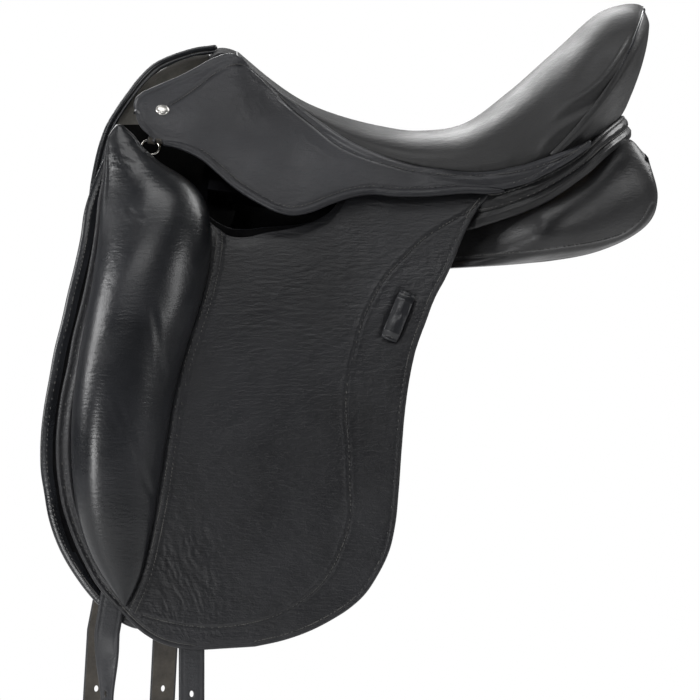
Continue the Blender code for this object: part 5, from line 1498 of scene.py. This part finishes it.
# The nail head from its edge to its crown, as radius and height in mm
STUD_PROFILE = (
    (6.0, -0.8), (6.2, 0.2), (6.0, 0.8), (5.4, 1.3), (4.5, 1.7), (3.4, 2.0), (2.2, 2.2), (1.1, 2.3),
    (0.3, 2.33),
)
STUD_SIDES, STUD_SEAT = 40, 5 * MM


def stud(label, side):
    """A plain domed nail head, square to the leather it sits on."""
    search = tree_of(f"skirt_head_leather_{label}")
    x, z = STUD_PLACE
    around = ((0, 0), (1, 0), (-1, 0), (0, 1), (0, -1))
    spots, _ = cast(search, side, [(x + a * STUD_SEAT, z + b * STUD_SEAT) for a, b in around])
    first, second = unit(spots[1] - spots[2]), unit(spots[3] - spots[4])
    out = unit(np.cross(first, second))
    out = out if out[1] * side > 0 else -out
    second = np.cross(out, first)
    turn = np.linspace(0, math.tau, STUD_SIDES, endpoint=False)[:, None]
    spokes = first * np.cos(turn) + second * np.sin(turn)
    centre = spots.mean(axis=0)
    rings = [centre + spokes * radius * MM + out * height * MM for radius, height in STUD_PROFILE]
    faces = ring_faces(len(STUD_PROFILE), STUD_SIDES)
    if side > 0:
        faces = [face[::-1] for face in faces]
    add_object(f"stud_head_{label}", np.concatenate(rings), faces, [NAIL], "root", f"stud_{label}")


DEE_PIVOT = (-237.5 * MM, -8.2 * MM)
DEE_RADIUS, DEE_WIRE, DEE_OFFSET = 8.1 * MM, 1.1 * MM, 1.0 * MM
CHAPE_LOOP, CHAPE_THICK, CHAPE_WIDTH, CHAPE_REACH = 2.9 * MM, 1.2 * MM, 6 * MM, 17 * MM


def dee(label, side):
    """The dee ring, and the leather chape round its upper wire."""
    pivot = side_points(1, np.array(DEE_PIVOT[0]), np.array(DEE_PIVOT[1]), DEE_OFFSET)
    outwards = np.array(side_normal(*DEE_PIVOT), float)
    along = unit(np.array([1, LIFT_FLARE, LIFT_SLOPE]))
    down = np.cross(along, outwards)
    down = down if down[2] < 0 else -down
    third = unit(np.cross(along, down))
    down = np.cross(third, along)
    mirror = np.array([1, side, 1])
    turn = np.linspace(0, math.tau, 64, endpoint=False)[:, None]
    ring = pivot + along * DEE_RADIUS * np.sin(turn) + down * (DEE_RADIUS * (1 - np.cos(turn)) - 0.3 * MM)
    body = f"dee_{label}"
    tube(f"dee_ring_{label}", ring * mirror, DEE_WIRE, 14, BRIGHT, body, body, closed=True)
    angles = np.radians(np.linspace(0, 189, 24))
    loop = np.stack([CHAPE_LOOP * np.sin(angles), -CHAPE_LOOP * np.cos(angles)], axis=1)
    tail = np.stack([np.linspace(-CHAPE_REACH, -0.5 * MM, 14), np.full(14, -CHAPE_LOOP)], axis=1)
    path = np.concatenate([tail, loop])
    tangent = unit(np.gradient(path, axis=0))
    face = np.stack([-tangent[:, 1], tangent[:, 0]], axis=1) * CHAPE_THICK / 2
    lane = np.linspace(-0.5, 0.5, 9) * CHAPE_WIDTH

    def placed(points):
        grid = pivot + down * points[:, None, :1] + third * points[:, None, 1:] + along * lane[None, :, None]
        return grid * mirror

    outer, inner = placed(path + face), placed(path - face)
    shell(f"dee_strap_{label}", outer, inner, STRAP, "root", f"dee_chape_{label}")


# CAD nodes that keep their own shape: finish, and how much their edges are eased, in mm
DRESSED = (
    ("tree", BEECH, 1.2), ("seat_foam", FOAM, 1.5), ("seat_web", WEB, 0), ("girth_web", WEB, 0),
    # The head plate is blackened steel, dark also as painted shade of the recess
    ("head_plate", BLACKENED_AND_SHADE, 0.5), ("cantle_plate", STEEL, 0.4),
)
DRESSED_PAIRS = (
    # The stirrup bar, catch, pin and rivets are blackened steel, dark also as painted shade of the recess
    ("spring", STEEL, 0.4), ("stirrup_bar", BLACKENED_AND_SHADE, 0.7), ("safety_catch", BLACKENED_AND_SHADE, 0.5),
    ("catch_pin", BLACKENED_AND_SHADE, 0.3), ("bar_rivet_front", BLACKENED_AND_SHADE, 0.4), ("bar_rivet_rear", BLACKENED_AND_SHADE, 0.4),
    # The point pocket gets the near-black painted shade of the recess
    ("knee_block_foam", FOAM, 1.5), ("point_pocket", SHADE, 0.3),
)
EASED_FROM = math.radians(35)


def dress(node, surface, eased):
    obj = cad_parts[node]
    obj.data.materials.clear()
    obj.data.materials.append(surface)
    if eased:
        modifier = obj.modifiers.new("eased", "BEVEL")
        modifier.width = eased * MM
        modifier.segments = 2
        modifier.limit_method = "ANGLE"
        modifier.angle_limit = EASED_FROM


def hidden_parts():
    for node, surface, eased in DRESSED:
        dress(node, surface, eased)
    for node, surface, eased in DRESSED_PAIRS:
        for label, _ in SIDES:
            dress(f"{node}_{label}", surface, eased)


# ---------------------------------------------------------------- studio

CAMERA_DISTANCE, VIEW_WIDTH = 27.0, 0.6335
VIEW_CENTRE = Vector((-0.0588, 0.0, -0.1973))
SENSOR = 36.0
FLOOR_DROP, FLOOR_SIZE, FLOOR_TONE = 0.012, 8.0, (0.84, 0.84, 0.84, 1)
# The camera sees a white surround; the saddle gets only this much of a cool one
FILL_COLOUR, FILL_STRENGTH = (0.93, 0.96, 1.0, 1), 0.02
# A white tent round the saddle: bright beside, behind and above it, dark in front.
# Each light's name, place, what it points at, size and power
LIGHTS = (
    ("top", (-0.2, -0.5, 2.7), (0, 0, 0), (1.8, 1.0), 16),
    ("upper_front", (-0.6, -2.2, 2.2), (-0.08, 0, 0), (1.2, 0.8), 9.5),
    ("high_left", (-2.4, -1.2, 1.4), (-0.1, 0, 0), (0.6, 0.6), 9),
    ("side", (2.2, -1.6, 0.9), (0.1, 0, -0.1), (0.7, 1.2), 13),
    ("low", (-1.7, -2.3, -0.3), (-0.2, 0, -0.3), (0.5, 0.6), 13),
    ("far_left", (-2.8, -0.4, 1.0), (-0.1, 0, -0.1), (1.2, 1.2), 34),
    ("behind_left", (-1.0, 2.6, 1.8), (0.05, 0, 0), (2.4, 1.4), 76),
    ("behind_right", (2.0, 1.6, 1.8), (0.1, 0, 0), (2.0, 1.6), 60),
)


def area_light(name, place, target, size, power):
    data = bpy.data.lights.new(name, "AREA")
    data.shape = "RECTANGLE"
    data.size, data.size_y = size
    data.energy = power
    obj = bpy.data.objects.new(name, data)
    obj.location = place
    obj.rotation_mode = "QUATERNION"
    obj.rotation_quaternion = (Vector(target) - Vector(place)).to_track_quat("-Z", "Y")
    bpy.context.scene.collection.objects.link(obj)


def studio():
    scene = bpy.context.scene
    scene.view_settings.view_transform = "Standard"
    world = bpy.data.worlds.new("studio")
    scene.world = world
    world.use_nodes = True
    nodes, links = world.node_tree.nodes, world.node_tree.links
    seen = nodes["Background"]
    seen.inputs["Color"].default_value = (1, 1, 1, 1)
    seen.inputs["Strength"].default_value = 1.0
    fill = nodes.new("ShaderNodeBackground")
    fill.inputs["Color"].default_value = FILL_COLOUR
    fill.inputs["Strength"].default_value = FILL_STRENGTH
    path = nodes.new("ShaderNodeLightPath")
    mix = nodes.new("ShaderNodeMixShader")
    links.new(path.outputs["Is Camera Ray"], mix.inputs["Fac"])
    links.new(fill.outputs["Background"], mix.inputs[1])
    links.new(seen.outputs["Background"], mix.inputs[2])
    links.new(mix.outputs["Shader"], nodes["World Output"].inputs["Surface"])
    f = Finish("floor")
    f.set(Base_Color=FLOOR_TONE, Roughness=0.7)
    low = CAD_BOX[0].z - FLOOR_DROP
    corners = [(x * FLOOR_SIZE, y * FLOOR_SIZE, low) for x, y in ((-1, -1), (1, -1), (1, 1), (-1, 1))]
    data = bpy.data.meshes.new("floor")
    data.from_pydata(corners, [], [(0, 1, 2, 3)])
    data.materials.append(f.material)
    floor = bpy.data.objects.new("floor", data)
    scene.collection.objects.link(floor)
    for name, place, target, size, power in LIGHTS:
        area_light(name, place, target, size, power)
    data = bpy.data.cameras.new("camera")
    data.sensor_width = SENSOR
    data.lens = SENSOR * CAMERA_DISTANCE / VIEW_WIDTH
    data.clip_end = 200
    camera = bpy.data.objects.new("camera", data)
    camera.location = VIEW_CENTRE - Vector((0, CAMERA_DISTANCE, 0))
    camera.rotation_euler = (math.pi / 2, 0, 0)
    scene.collection.objects.link(camera)
    scene.camera = camera


# ---------------------------------------------------------------- assembly

seat()
pommel()
cantle()
rear_facing()
gullet_lining()
hidden_parts()
for label, side in SIDES:
    panel(label, side)
    panel_welt(label, side)
    sweat_flap(label, side)
    flap(label, side)
    knee_block(label, side)
    keeper(label, side)
    flap_stitching(label, side)
    for place in STRAP_PATHS:
        girth_strap(place, label, side)
    skirt(label, side)
    stud(label, side)
    dee(label, side)
studio()
